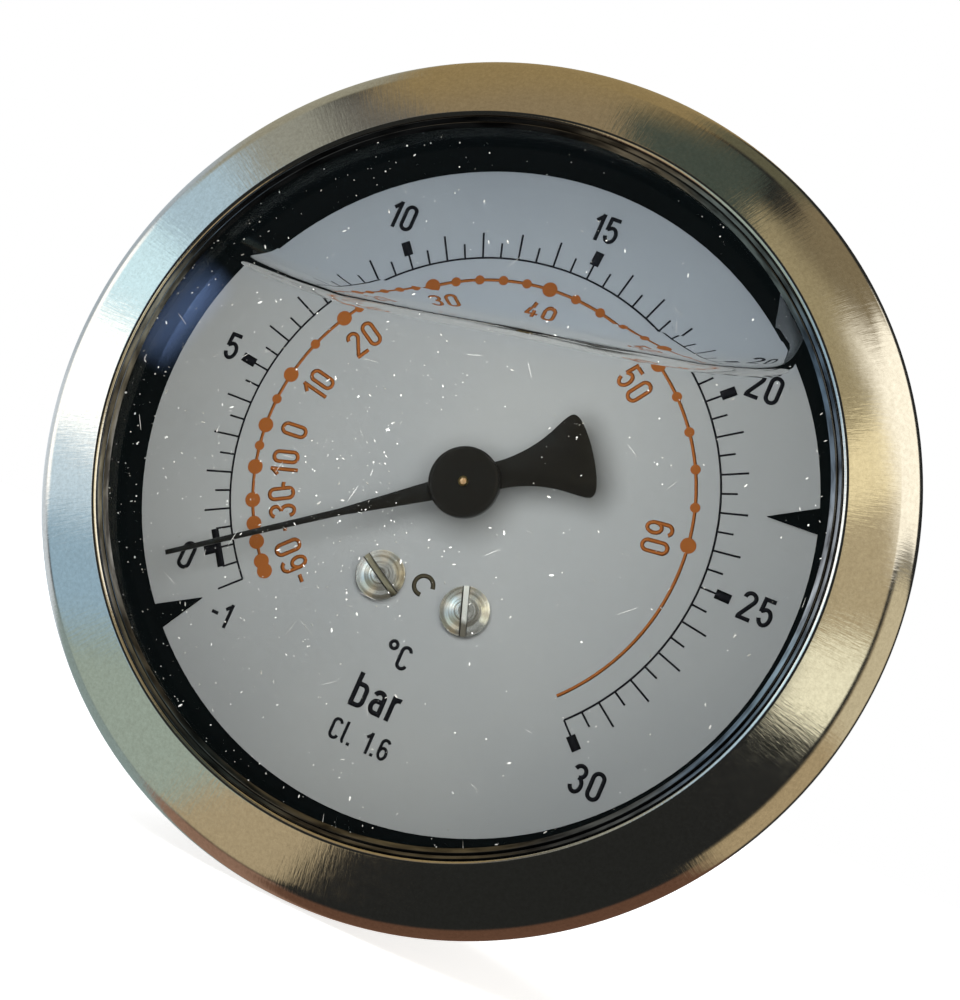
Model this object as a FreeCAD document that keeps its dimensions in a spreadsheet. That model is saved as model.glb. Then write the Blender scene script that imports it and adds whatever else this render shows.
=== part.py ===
# Refrigerant pressure gauge, nominal size 63, liquid filled, with a centre-back connection.
# The dial faces -Y, +Z is twelve o'clock and +X is three o'clock. The origin is on the stem's
# axis at the shoulder where the thread starts, and the thread points along +Y.
# Lengths are in millimetres and angles in degrees.
import FreeCAD, Part
import math
import os
import re
import Sketcher

os.makedirs("parts", exist_ok=True)
doc = FreeCAD.newDocument("PressureGauge")
sheet = doc.addObject("Spreadsheet::Sheet", "Sizes")
scratch = doc.addObject("Spreadsheet::Sheet", "Scratch")

# The sheet of sizes

drivingSizes = {
    # Stem and connection
    "threadRadius": 6.58,          # G 1/4 B, 13.16 mm over the crests
    "threadLength": 13.0,
    "threadChamfer": 1.0,
    "spigotRadius": 2.5,
    "spigotLength": 2.0,
    "boreRadius": 1.5,
    "flatsWidth": 14.0,            # across the spanner flats
    "flatsLength": 11.0,
    "stemNeckRadius": 8.8,
    "flatsStart": 1.2,             # from the case back to the flats
    # Case
    "overallDepth": 34.5,          # from the case back to the front of the bezel
    "caseSheet": 0.8,
    "caseBackRounding": 3.0,
    "panelFlat": 3.0,              # from the back's rounding to the pressed panel
    "panelStep": 0.7,
    "flangeWidth": 2.8,
    "flangeGap": 0.2,              # from the flange's edge to the bezel's wall
    "stemHoleGap": 0.15,
    # Bezel and window
    "bezelRadius": 34.5,
    "bezelSheet": 0.5,
    "bezelFaceDrop": 2.0,          # the face slopes back by this much from lip to shoulder
    "bezelRounding": 2.6,
    "crimpRounding": 1.1,
    "bezelFaceWidth": 5.95,        # from the shoulder in to the lip
    "crimpGap": 0.3,               # from the crimped edge to the case
    "windowGap": 0.3,              # from the window's edge to the bezel's wall
    "windowThickness": 3.0,
    "windowFlatInset": 0.3,        # the flat front ends this far inside the lip
    "windowRimDepth": 5.0,
    "windowRimWidth": 2.5,
    "gasketWidth": 3.2,
    "gasketThickness": 1.4,
    "seatGap": 0.05,
    # Dial and inner ring
    "dialDepth": 6.0,              # from the window's back to the dial's face
    "dialGap": 0.8,                # from the dial's edge to the case's wall
    "dialThickness": 0.6,
    "dialHoleRadius": 2.2,
    "ringGap": 0.2,                # from the ring's edge to the case's wall
    "ringFlangeThickness": 1.0,
    "ringFlangeWidth": 1.9,
    "ringTaper": 0.9,              # the ring narrows by this much towards the dial
    "ringWall": 1.1,
    "tabLength": 3.9,
    "tabWidth": 2.0,
    "tabThickness": 0.5,
    "lowTabAngle": 225.0,          # at -1 bar
    "highTabAngle": 16.7,          # at about 23 bar
    # Pointer
    "pointerAngle": 215.4,         # rest direction in the dial's plane, from +X towards +Z
    "pointerHeight": 2.9,          # from the dial's face to the back of the blade
    "pointerThickness": 0.3,
    "pointerTipGap": 2.45,         # from the needle's end to the ring
    "pointerRootWidth": 1.6,
    "pointerShoulderReach": 8.9,
    "pointerShoulderWidth": 0.74,
    "needleWidth": 0.56,
    "needleEndWidth": 0.38,
    "needleStart": 10.2,
    "tailReach": 10.4,
    "tailWidth": 6.9,
    "tailNeckWidth": 2.2,
    "tailSideRadius": 12.0,        # the fan's hollow sides
    "tailCornerInset": 1.2,
    "collarRadius": 2.4,
    "hubRadius": 2.85,
    "hubThickness": 0.9,
    "hubRounding": 0.35,
    "hubBarrelRadius": 1.5,
    "hubBarrelLength": 1.4,
    "pinRadius": 0.4,              # brass end of the arbor in the middle of the hub
    "pinStandOut": 0.25,
    # Movement
    "postLength": 1.4,             # from the dial's back to the front plate
    "postRadius": 1.9,
    "postHoleRadius": 1.05,
    "postSpacing": 7.4,
    "postDrop": 9.1,
    "plateThickness": 1.0,
    "plateSpace": 6.0,             # between the two plates
    "plateLeft": 11.6,
    "plateRightMargin": 2.0,       # beyond the sector's axis
    "plateTop": 12.3,
    "plateBottom": 12.8,
    "plateCorner": 3.0,
    "plateCutCorner": 9.0,         # the upper left corner is cut off straight
    "pillarRadius": 1.6,
    "pillarBore": 0.6,
    "pillarInset": 3.0,
    "pillarRightInset": 3.5,
    # Gears
    "gearModule": 0.2,
    "pinionTeeth": 16,
    "sectorTeeth": 144,            # on the full circle
    "pressureAngle": 20.0,
    "toothTip": 0.9,               # times the module
    "toothRoot": 1.25,             # times the module
    "toothOvercut": 0.1,           # how far a gap is cut past the tips, times the module
    "backlash": 0.03,
    "pinionLength": 2.7,
    "pinionFrontGap": 0.9,         # from the front plate to the teeth
    "sectorThickness": 1.0,
    "sectorFrontGap": 1.9,         # from the front plate to the sector
    "gapsBelow": 14,               # on the side that full scale brings to the pinion
    "gapsAbove": 3,
    "sectorRimWidth": 1.7,
    "sectorHubRadius": 2.6,
    "sectorArmSpread": 35.0,       # from the rim's end to where the edge meets the hub
    "openingRadius": 6.0,          # inner edge of the lightening window
    "openingRimMargin": 5.0,       # degrees of metal beside the window at the rim
    "openingHubMargin": 11.0,      # and at its inner edge
    "tailRadius": 4.5,             # from the sector's axis to the link's pin
    "tailAngle": -15.0,
    "tailHalfWidth": 1.3,
    "tailEndRadius": 1.32,
    "tailSpread": 40.0,            # from the tail's middle to where its edge meets the hub
    "arborRadius": 0.8,
    "arborPivotRadius": 0.5,
    "arborFlangeRadius": 1.6,
    "pivotGap": 0.03,
    "pivotFloat": 0.1,
    # Link and tube
    "linkThickness": 0.5,
    "linkHalfWidth": 1.1,
    "linkWaist": 1.2,
    "linkGap": 0.1,                # from the sector to the link
    "linkPinRadius": 0.5,
    "linkPinHeadRadius": 0.85,
    "linkPinHeadThickness": 0.35,
    "openPivotGap": 0.13,          # room in the link's hole at the tube's tip
    "tipPinRadius": 0.5,
    "tipPinSeat": 1.5,
    "tipPinOffset": 1.1,           # outside the tube's centre line
    "tipPinAngle": 20.6,
    "tubeRadius": 20.5,            # of the tube's centre line
    "tubeThickness": 3.2,
    "tubeEdgeRadius": 1.76,        # the rounded edges of the flattened section
    "tubeWidth": 8.5,
    "tubeWall": 0.35,
    "tubeSweep": 240.0,
    "tubeSetback": 4.7,            # from the rear plate's back to the tube's middle
    "tipBlockMargin": 0.4,
    "tipBlockEndAngle": 14.5,
    "tipLugRadius": 1.35,
    "brazeGap": 0.02,
    # Hairspring
    "springPitch": 0.95,           # growth for each turn
    "springTurns": 4,
    "springStrip": 0.16,
    "springGap": 0.02,             # film of solder at both ends
    "springHeight": 1.0,
    "springFrontGap": 4.2,         # from the front plate to the spring
    "springEndAngle": 120.0,
    "colletRadius": 1.6,
    "colletHeight": 1.4,
    "studRadius": 0.8,
    # Socket inside the case
    "blockHalfWidth": 7.0,
    "blockTop": 7.0,
    "blockBottom": 13.0,
    "armWidth": 7.0,
    "armWall": 1.1,                # outside the tube
    "armMargin": 0.4,
    "armOverlap": 1.0,             # of the arm with the block
    "footMargin": 4.4,             # outside the seal's middle
    "footFlatMargin": 1.6,         # the same at the flat that leaves room for the plug
    "footThickness": 2.5,
    "coreRadius": 6.8,
    "restrictorLength": 5.0,
    "restrictorHole": 0.3,
    "restrictorDepth": 3.0,
    "sealOffset": 1.4,             # from the stem's neck to the seal's middle
    "sealSection": 0.6,
    "sealGap": 0.02,
    # Screws, plug and cuts
    "dialScrewHead": 2.0,
    "dialScrewHeight": 0.8,
    "dialScrewDome": 0.35,
    "dialScrewShank": 1.0,
    "dialScrewLength": 2.6,
    "dialScrewSlot": 0.54,
    "plateScrewHead": 1.3,
    "plateScrewHeight": 0.7,
    "plateScrewShank": 0.55,
    "plateScrewLength": 3.0,
    "plateScrewSlot": 0.35,
    "plateScrewDome": 0.15,
    "blockScrewHead": 1.7,
    "blockScrewHeight": 0.9,
    "blockScrewShank": 0.95,
    "blockScrewLength": 5.0,
    "blockScrewSlot": 0.45,
    "blockScrewDome": 0.2,
    "blockScrewX": 4.6,
    "blockScrewZ": 9.4,
    "caseScrewHead": 2.3,
    "caseScrewHeight": 1.5,
    "caseScrewDome": 0.5,
    "caseScrewShank": 1.45,
    "caseScrewLength": 2.8,
    "caseScrewSlot": 0.7,
    "caseScrewOffset": 2.4,        # outside the seal's middle
    "screwGap": 0.1,
    "plugMargin": 0.2,             # from the plug's head to the panel's edge
    "plugHeadRadius": 4.6,
    "plugHeadHeight": 1.4,
    "plugNeckRadius": 3.4,
    "plugLipRadius": 4.0,
    "plugLipHeight": 1.2,
    "cutMargin": 0.01,             # how far every cut starts and ends outside the metal
}

# Places worked out from the sizes above
workedOut = {
    "caseBackY": "=-flatsLength",
    "lipY": "=caseBackY - overallDepth",
    "lipRadius": "=bezelRadius - bezelFaceWidth",
    "windowRadius": "=bezelRadius - bezelSheet - windowGap",
    "windowRimInner": "=windowRadius - windowRimWidth",
    "gasketInner": "=windowRadius - gasketWidth",
    "flangeRadius": "=bezelRadius - bezelSheet - flangeGap",
    "caseRadius": "=flangeRadius - flangeWidth",
    "caseInnerRadius": "=caseRadius - caseSheet",
    "crimpRadius": "=caseRadius + crimpGap",
    "panelRadius": "=caseRadius - caseBackRounding - panelFlat",
    "dialRadius": "=caseInnerRadius - dialGap",
    "ringFlangeRadius": "=caseInnerRadius - ringGap",
    "ringFrontRadius": "=ringFlangeRadius - ringFlangeWidth",
    "ringBackRadius": "=ringFrontRadius - ringTaper",
    "pointerReach": "=ringBackRadius - pointerTipGap",
    "bezelShoulderY": "=lipY + bezelFaceDrop",
    "bezelFaceSlope": "=bezelFaceDrop / (bezelRadius - bezelSheet - lipRadius)",
    "windowFrontY": "=lipY + bezelSheet + seatGap",
    "windowFlatRadius": "=lipRadius - windowFlatInset",
    "windowShoulderY": "=windowFrontY + bezelFaceSlope * (windowRadius - windowFlatRadius)",
    "windowBackY": "=windowFrontY + windowThickness",
    "windowRimBackY": "=windowFrontY + windowRimDepth",
    "flangeFrontY": "=windowRimBackY + gasketThickness",
    "flangeBackY": "=flangeFrontY + caseSheet",
    "crimpFrontY": "=flangeBackY + seatGap",
    "crimpBackY": "=crimpFrontY + bezelSheet",
    "dialFrontY": "=windowBackY + dialDepth",
    "dialBackY": "=dialFrontY + dialThickness",
    "frontPlateY": "=dialBackY + postLength",
    "innerFrontY": "=frontPlateY + plateThickness",
    "innerBackY": "=innerFrontY + plateSpace",
    "rearPlateBackY": "=innerBackY + plateThickness",
    "pointerBackY": "=dialFrontY - pointerHeight",
    "pointerFrontY": "=pointerBackY - pointerThickness",
    "pinionPitch": "=gearModule * pinionTeeth / 2",
    "sectorPitch": "=gearModule * sectorTeeth / 2",
    "axisDistance": "=pinionPitch + sectorPitch",
    "plateRight": "=axisDistance + plateRightMargin",
    "leftPillarX": "=plateLeft - pillarInset",
    "rightPillarX": "=plateRight - pillarRightInset",
    "topPillarZ": "=plateTop - pillarInset",
    "bottomPillarZ": "=plateBottom - pillarInset",
    "sectorFrontY": "=innerFrontY + sectorFrontGap",
    "sectorBackY": "=sectorFrontY + sectorThickness",
    "linkFrontY": "=sectorBackY + linkGap",
    "linkBackY": "=linkFrontY + linkThickness",
    "lugFrontY": "=linkBackY + seatGap",
    "linkPinX": "=axisDistance + tailRadius * cos(tailAngle)",
    "linkPinZ": "=tailRadius * sin(tailAngle)",
    "tipPinDistance": "=tubeRadius + tipPinOffset",
    "tipPinX": "=tipPinDistance * cos(tipPinAngle)",
    "tipPinZ": "=tipPinDistance * sin(tipPinAngle)",
    "linkLength": "=sqrt((tipPinX - linkPinX) ^ 2 + (tipPinZ - linkPinZ) ^ 2)",
    "linkAlongX": "=(tipPinX - linkPinX) / linkLength",
    "linkAlongZ": "=(tipPinZ - linkPinZ) / linkLength",
    "tubeMiddleY": "=rearPlateBackY + tubeSetback",
    "tubeFrontY": "=tubeMiddleY - tubeWidth / 2",
    "tubeBackY": "=tubeMiddleY + tubeWidth / 2",
    "tubeEndAngle": "=270 - tubeSweep",
    "armReach": "=tubeRadius + tubeThickness / 2 + armWall",
    "sealRadius": "=stemNeckRadius + sealOffset",
    "footRadius": "=sealRadius + footMargin",
    "footFlatZ": "=sealRadius + footFlatMargin",
    "caseScrewCircle": "=sealRadius + caseScrewOffset",
    "plugCircle": "=panelRadius - panelStep - plugMargin - plugHeadRadius",
    "caseInnerBackY": "=caseBackY - caseSheet",
    "footFrontY": "=caseInnerBackY - footThickness",
    "springFrontY": "=innerFrontY + springFrontGap",
    "springBackY": "=springFrontY + springHeight",
    "springInner": "=colletRadius + springStrip / 2 + springGap",
    "springOuter": "=springInner + springPitch * springTurns",
    "studDistance": "=springOuter + springStrip / 2 + studRadius + springGap",
    "sectorStep": "=360 / sectorTeeth",
    "hubFrontY": "=pointerFrontY - hubThickness",
    "hubBackY": "=pointerFrontY + hubBarrelLength",
}

for row, (alias, content) in enumerate([*drivingSizes.items(), *workedOut.items()], 1):
    sheet.set("A%d" % row, alias)
    sheet.set("B%d" % row, str(content))
    sheet.setAlias("B%d" % row, alias)
doc.recompute()

FUNCTION_NAMES = {"sin", "cos", "tan", "acos", "sqrt", "pi", "deg"}


def bound(expression):
    """The expression with each size's name pointing at the sheet of sizes."""
    def point(match):
        word = match.group(0)
        return word if word in FUNCTION_NAMES else "Sizes." + word
    return re.sub(r"[A-Za-z]\w*", point, expression)


def number(expression):
    """The value that an expression over the sizes has now."""
    scratch.set("A1", "=" + bound(expression))
    scratch.recompute()
    return float(scratch.get("A1"))


# Sketches

def new_body(label):
    body = doc.addObject("PartDesign::Body", "Body_" + label)
    body.Label = label
    return body


def new_sketch(body, role, offset="0"):
    """A sketch on one of the body's own planes, moved along the plane's normal by offset."""
    sketch = body.newObject("Sketcher::SketchObject", "Sketch")
    plane = [item for item in body.Origin.OriginFeatures if item.Role == role][0]
    sketch.AttachmentSupport = [(plane, "")]
    sketch.MapMode = "FlatFace"
    sketch.setExpression("AttachmentOffset.Base.z", bound(offset))
    return sketch


def bind(sketch, constraint, expression):
    index = sketch.addConstraint(constraint)
    sketch.setExpression("Constraints[%d]" % index, bound(expression))


def pin_point(sketch, side, end, place):
    """Holds one end of a side at a place given by two expressions."""
    for kind, expression in zip(("DistanceX", "DistanceY"), place):
        value = number(expression)
        bind(sketch, Sketcher.Constraint(kind, -1, 1, side, end, value), expression)


def arc_between(start, finish, radius, turn):
    """The shorter arc from start to finish, counter-clockwise for turn 1 and clockwise for -1."""
    chord = finish - start
    left = FreeCAD.Vector(-chord.y, chord.x, 0).normalize()
    height = math.sqrt(max(radius ** 2 - (chord.Length / 2) ** 2, 0))
    centre = (start + finish) / 2 + left * height * turn
    first, last = (start, finish) if turn > 0 else (finish, start)
    angles = [math.atan2(point.y - centre.y, point.x - centre.x) for point in (first, last)]
    if angles[1] < angles[0]:
        angles[1] += 2 * math.pi
    circle = Part.Circle(centre, FreeCAD.Vector(0, 0, 1), radius)
    return Part.ArcOfCircle(circle, *angles)


def draw_outline(sketch, corners, arcs=None):
    """A closed outline. Side i runs from corner i to the next one; arcs gives, for a side that
    is an arc, its radius and its turn."""
    arcs = arcs or {}
    points = [FreeCAD.Vector(number(x), number(y), 0) for x, y in corners]
    first = sketch.GeometryCount
    ends = []
    for i, start in enumerate(points):
        finish = points[(i + 1) % len(points)]
        if i in arcs:
            radius, turn = arcs[i]
            sketch.addGeometry(arc_between(start, finish, number(radius), turn), False)
            bind(sketch, Sketcher.Constraint("Radius", first + i, number(radius)), radius)
            ends.append((1, 2) if turn > 0 else (2, 1))
        else:
            sketch.addGeometry(Part.LineSegment(start, finish), False)
            ends.append((1, 2))
    for i, corner in enumerate(corners):
        following = (i + 1) % len(corners)
        sketch.addConstraint(Sketcher.Constraint(
            "Coincident", first + i, ends[i][1], first + following, ends[following][0]))
        pin_point(sketch, first + i, ends[i][0], corner)


def draw_circle(sketch, x, z, radius):
    index = sketch.GeometryCount
    centre = FreeCAD.Vector(number(x), number(z), 0)
    sketch.addGeometry(Part.Circle(centre, FreeCAD.Vector(0, 0, 1), number(radius)), False)
    pin_point(sketch, index, 3, (x, z))
    bind(sketch, Sketcher.Constraint("Radius", index, number(radius)), radius)


def polar(radius, angle, sideways="0", x="0", z="0"):
    """A place given by radius and angle about (x, z), moved sideways to the left of the ray."""
    return ("%s + (%s) * cos(%s) - (%s) * sin(%s)" % (x, radius, angle, sideways, angle),
            "%s + (%s) * sin(%s) + (%s) * cos(%s)" % (z, radius, angle, sideways, angle))


# Features

def revolve(body, corners, arcs=None, x="0", z="0"):
    """Turns an outline of (radius, y) corners about the line through (x, z) along Y."""
    sketch = new_sketch(body, "XY_Plane", z)
    draw_outline(sketch, [("%s + %s" % (x, r), y) for r, y in corners], arcs)
    axis = sketch.addGeometry(Part.LineSegment(
        FreeCAD.Vector(number(x), 0, 0), FreeCAD.Vector(number(x), 1, 0)), True)
    pin_point(sketch, axis, 1, (x, "0"))
    pin_point(sketch, axis, 2, (x, "1"))
    turned = body.newObject("PartDesign::Revolution", "Revolution")
    turned.Profile = sketch
    turned.ReferenceAxis = (sketch, ["Axis0"])
    turned.Angle = 360
    doc.recompute()
    return turned


def pad(body, back, thickness, draw):
    """Raises what draw puts in a sketch from y = back towards the dial side."""
    sketch = new_sketch(body, "XZ_Plane", "-(%s)" % back)
    draw(sketch)
    raised = body.newObject("PartDesign::Pad", "Pad")
    raised.Profile = sketch
    raised.setExpression("Length", bound(thickness))
    doc.recompute()
    return raised


def pocket(body, front, depth, draw):
    """Cuts what draw puts in a sketch from y = front towards the connection side."""
    sketch = new_sketch(body, "XZ_Plane", "-(%s)" % front)
    draw(sketch)
    cut = body.newObject("PartDesign::Pocket", "Pocket")
    cut.Profile = sketch
    cut.setExpression("Length", bound(depth))
    volume = body.Shape.Volume
    doc.recompute()
    if body.Shape.Volume >= volume:
        raise RuntimeError("a pocket in %s cuts nothing" % body.Label)
    return cut


def ring_edges(shape, rings, x="0", z="0"):
    """Names of the circular edges of the given (radius, y) about the line through (x, z)."""
    found = []
    wanted = [(number(radius), number(y)) for radius, y in rings]
    middle = (number(x), number(z))
    for index, edge in enumerate(shape.Edges, 1):
        curve = edge.Curve
        if not isinstance(curve, Part.Circle):
            continue
        off_axis = math.hypot(curve.Center.x - middle[0], curve.Center.z - middle[1])
        for radius, y in wanted:
            if off_axis + abs(curve.Radius - radius) + abs(curve.Center.y - y) < 0.003:
                found.append("Edge%d" % index)
    if len(found) < len(rings):
        raise RuntimeError("an edge to round was not found")
    return found


def round_rings(body, radius, rings, x="0", z="0"):
    tip = body.Tip
    names = ring_edges(tip.Shape, rings, x, z)
    fillet = body.newObject("PartDesign::Fillet", "Fillet")
    fillet.Base = (tip, names)
    fillet.setExpression("Radius", bound(radius))
    doc.recompute()
    return fillet


def circles(*places):
    """A drawing of circles, each given as (x, z, radius)."""
    def draw(sketch):
        for x, z, radius in places:
            draw_circle(sketch, x, z, radius)
    return draw


def outline(corners, arcs=None, holes=()):
    """A drawing of one closed outline with round holes in it."""
    def draw(sketch):
        draw_outline(sketch, corners, arcs)
        for x, z, radius in holes:
            draw_circle(sketch, x, z, radius)
    return draw


def group(label, members):
    together = doc.addObject("Part::Compound", "Group_" + label)
    together.Label = label
    together.Links = members
    doc.recompute()
    return together


# Housing

def make_case():
    body = new_body("case")
    hole = "stemNeckRadius + stemHoleGap"
    wall = "caseInnerRadius"
    revolve(body, [
        (hole, "caseBackY"),
        ("panelRadius - panelStep", "caseBackY"),
        ("panelRadius", "caseBackY - panelStep"),
        ("caseRadius", "caseBackY - panelStep"),
        ("caseRadius", "flangeBackY"),
        ("flangeRadius", "flangeBackY"),
        ("flangeRadius", "flangeFrontY"),
        (wall, "flangeFrontY"),
        (wall, "caseInnerBackY - panelStep"),
        ("panelRadius - caseSheet / 2", "caseInnerBackY - panelStep"),
        ("panelRadius - panelStep - caseSheet / 2", "caseInnerBackY"),
        (hole, "caseInnerBackY"),
    ])
    round_rings(body, "caseBackRounding", [("caseRadius", "caseBackY - panelStep")])
    round_rings(body, "caseBackRounding - caseSheet", [(wall, "caseInnerBackY - panelStep")])
    round_rings(body, "caseSheet / 2", [
        ("caseRadius", "flangeBackY"), (wall, "flangeFrontY"), ("flangeRadius", "flangeBackY")])
    hole_radius = "caseScrewShank + screwGap"
    pocket(body, "caseInnerBackY - cutMargin", "caseSheet + 2 * cutMargin", circles(
        ("caseScrewCircle", "0", hole_radius),
        ("-caseScrewCircle", "0", hole_radius),
        ("0", "plugCircle", "plugNeckRadius")))
    return body


def make_bezel():
    body = new_body("bezel_ring")
    inside = "bezelRadius - bezelSheet"
    revolve(body, [
        ("lipRadius", "lipY"),
        ("bezelRadius", "bezelShoulderY"),
        ("bezelRadius", "crimpBackY"),
        ("crimpRadius", "crimpBackY"),
        ("crimpRadius", "crimpFrontY"),
        (inside, "crimpFrontY"),
        (inside, "bezelShoulderY + bezelSheet"),
        ("lipRadius", "lipY + bezelSheet"),
    ])
    round_rings(body, "bezelRounding", [("bezelRadius", "bezelShoulderY")])
    round_rings(body, "bezelRounding - bezelSheet", [(inside, "bezelShoulderY + bezelSheet")])
    round_rings(body, "crimpRounding", [("bezelRadius", "crimpBackY")])
    round_rings(body, "crimpRounding - bezelSheet", [(inside, "crimpFrontY")])
    return body


def make_window():
    body = new_body("window")
    revolve(body, [
        ("0", "windowFrontY"),
        ("windowFlatRadius", "windowFrontY"),
        ("windowRadius", "windowShoulderY"),
        ("windowRadius", "windowRimBackY"),
        ("windowRimInner", "windowRimBackY"),
        ("windowRimInner", "windowBackY"),
        ("0", "windowBackY"),
    ])
    round_rings(body, "bezelRounding - bezelSheet", [("windowRadius", "windowShoulderY")])
    return body


def make_gasket():
    body = new_body("window_gasket")
    revolve(body, [
        ("gasketInner", "windowRimBackY"),
        ("windowRadius", "windowRimBackY"),
        ("windowRadius", "flangeFrontY"),
        ("gasketInner", "flangeFrontY"),
    ])
    return body


# Dial side

def make_dial_ring():
    """Black moulded ring between window and dial, with an index tab at each end of the range."""
    body = new_body("dial_ring")
    front = "windowBackY + seatGap"
    revolve(body, [
        ("ringFrontRadius", front),
        ("ringFlangeRadius", front),
        ("ringFlangeRadius", front + " + ringFlangeThickness"),
        ("ringFrontRadius + ringWall", front + " + ringFlangeThickness"),
        ("ringBackRadius + ringWall", "dialFrontY"),
        ("ringBackRadius", "dialFrontY"),
    ])
    root = "ringBackRadius + ringWall / 2"
    for angle in ("lowTabAngle", "highTabAngle"):
        pad(body, "dialFrontY", "tabThickness", outline([
            polar("ringBackRadius - tabLength", angle),
            polar("ringBackRadius", angle, "-tabWidth / 2"),
            polar(root, angle, "-tabWidth / 2"),
            polar(root, angle, "tabWidth / 2"),
            polar("ringBackRadius", angle, "tabWidth / 2"),
        ]))
    return body


def post_places(radius):
    return [("-postSpacing / 2", "-postDrop", radius), ("postSpacing / 2", "-postDrop", radius)]


def make_dial():
    body = new_body("dial")
    screw_hole = "dialScrewShank + screwGap"
    pad(body, "dialBackY", "dialThickness", circles(
        ("0", "0", "dialRadius"), ("0", "0", "dialHoleRadius"), *post_places(screw_hole)))
    return body


def make_dial_posts():
    body = new_body("dial_posts")
    pad(body, "frontPlateY", "postLength", circles(
        *post_places("postRadius"), *post_places("postHoleRadius")))
    return body


def make_pointer():
    """Stamped pointer with a slender needle and a fan-shaped counterweight."""
    body = new_body("pointer")
    half_root, half_neck = "pointerRootWidth / 2", "tailNeckWidth / 2"
    ahead = [
        ("sqrt(collarRadius ^ 2 - (%s) ^ 2)" % half_root, half_root),
        ("pointerShoulderReach", "pointerShoulderWidth / 2"),
        ("needleStart", "needleWidth / 2"),
        ("pointerReach", "needleEndWidth / 2"),
    ]
    behind = [
        ("-sqrt(collarRadius ^ 2 - (%s) ^ 2)" % half_neck, half_neck),
        ("-(tailReach - tailCornerInset)", "tailWidth / 2 - tailCornerInset / 4"),
        ("-(tailReach - tailCornerInset / 3)", "tailWidth / 2 - tailCornerInset"),
    ]

    def side(places, sign):
        return [polar(along, "pointerAngle", sign + "(" + across + ")") for along, across in places]

    corners = side(ahead, "-") + side(reversed(ahead), "")
    corners += side(behind, "") + side(reversed(behind), "-")
    arcs = {
        7: ("collarRadius", 1),
        8: ("tailSideRadius", -1),
        9: ("tailCornerInset", 1),
        10: ("tailReach", 1),
        11: ("tailCornerInset", 1),
        12: ("tailSideRadius", -1),
        13: ("collarRadius", 1),
    }
    pad(body, "pointerBackY", "pointerThickness", outline(
        corners, arcs, [("0", "0", "hubBarrelRadius")]))
    return body


def make_pointer_hub():
    body = new_body("pointer_hub")
    revolve(body, [
        ("pinRadius", "hubFrontY"),
        ("hubRadius", "hubFrontY"),
        ("hubRadius", "pointerFrontY"),
        ("hubBarrelRadius", "pointerFrontY"),
        ("hubBarrelRadius", "hubBackY"),
        ("pinRadius", "hubBackY"),
    ])
    round_rings(body, "hubRounding", [("hubRadius", "hubFrontY")])
    return body


# Movement

def make_plate(label, back, holes):
    body = new_body(label)
    left, right, low, high = "-plateLeft", "plateRight", "-plateBottom", "plateTop"
    round_by = "plateCorner"
    corners = [
        (left + " + " + round_by, low), (right + " - " + round_by, low),
        (right, low + " + " + round_by), (right, high + " - " + round_by),
        (right + " - " + round_by, high), (left + " + plateCutCorner", high),
        (left, high + " - plateCutCorner"), (left, low + " + " + round_by),
    ]
    arcs = {side: (round_by, 1) for side in (1, 3, 7)}
    pad(body, back, "plateThickness", outline(corners, arcs, holes))
    return body


PILLARS = [("-leftPillarX", "0"), ("rightPillarX", "topPillarZ"), ("rightPillarX", "-bottomPillarZ")]
BLOCK_SCREWS = [("-blockScrewX", "-blockScrewZ"), ("blockScrewX", "-blockScrewZ")]


def make_front_plate():
    pivot = "arborPivotRadius + pivotGap"
    holes = [(x, z, "plateScrewShank + pivotGap") for x, z in PILLARS]
    holes += [("0", "0", "arborRadius + pivotGap"), ("axisDistance", "0", pivot)]
    holes += post_places("dialScrewShank + screwGap / 2")
    return make_plate("front_plate", "innerFrontY", holes)


def make_rear_plate():
    pivot = "arborPivotRadius + pivotGap"
    holes = [("0", "0", pivot), ("axisDistance", "0", pivot)]
    holes += [(x, z, "blockScrewShank + screwGap") for x, z in BLOCK_SCREWS]
    return make_plate("rear_plate", "rearPlateBackY", holes)


def make_pillars():
    body = new_body("plate_pillars")
    pad(body, "innerBackY", "plateSpace", circles(
        *[(x, z, "pillarRadius") for x, z in PILLARS],
        *[(x, z, "pillarBore") for x, z in PILLARS]))
    return body


# Teeth

def flank_angle(teeth, pitch, radius):
    """Half the angle of the gap between two teeth at a radius, on an involute flank."""
    turn = "180 / pi"
    slack = "backlash / 2 / (%s) * %s" % (pitch, turn)
    grown = "(acos((%s) * cos(pressureAngle) / (%s)) / 1 deg)" % (pitch, radius)
    start = "(tan(pressureAngle) * %s - pressureAngle)" % turn
    here = "(tan(%s) * %s - %s)" % (grown, turn, grown)
    return "(90 / (%s) + %s - %s + %s)" % (teeth, slack, start, here)


def gap_outline(teeth, pitch, angle, x, undercut):
    """The space between two teeth about the ray at angle from (x, 0)."""
    tip = "(%s) + toothTip * gearModule" % pitch
    outside = "((%s) + toothOvercut * gearModule)" % tip
    root = "((%s) - toothRoot * gearModule)" % pitch
    start = "(%s) * cos(pressureAngle)" % pitch if undercut else root
    start_angle = flank_angle(teeth, pitch, start)
    end_angle = flank_angle(teeth, pitch, outside)
    side = [(root, start_angle)] if undercut else []
    side += [(start, start_angle), (outside, end_angle)]
    corners = [polar(r, "%s + %s" % (angle, a), x=x) for r, a in reversed(side)]
    corners += [polar(r, "%s - %s" % (angle, a), x=x) for r, a in side]
    flank = "(%s) * sin(pressureAngle)" % pitch
    last = len(corners) - 2
    return outline(corners, {0: (flank, -1), last: (flank, -1), last + 1: (outside, 1)})


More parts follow.
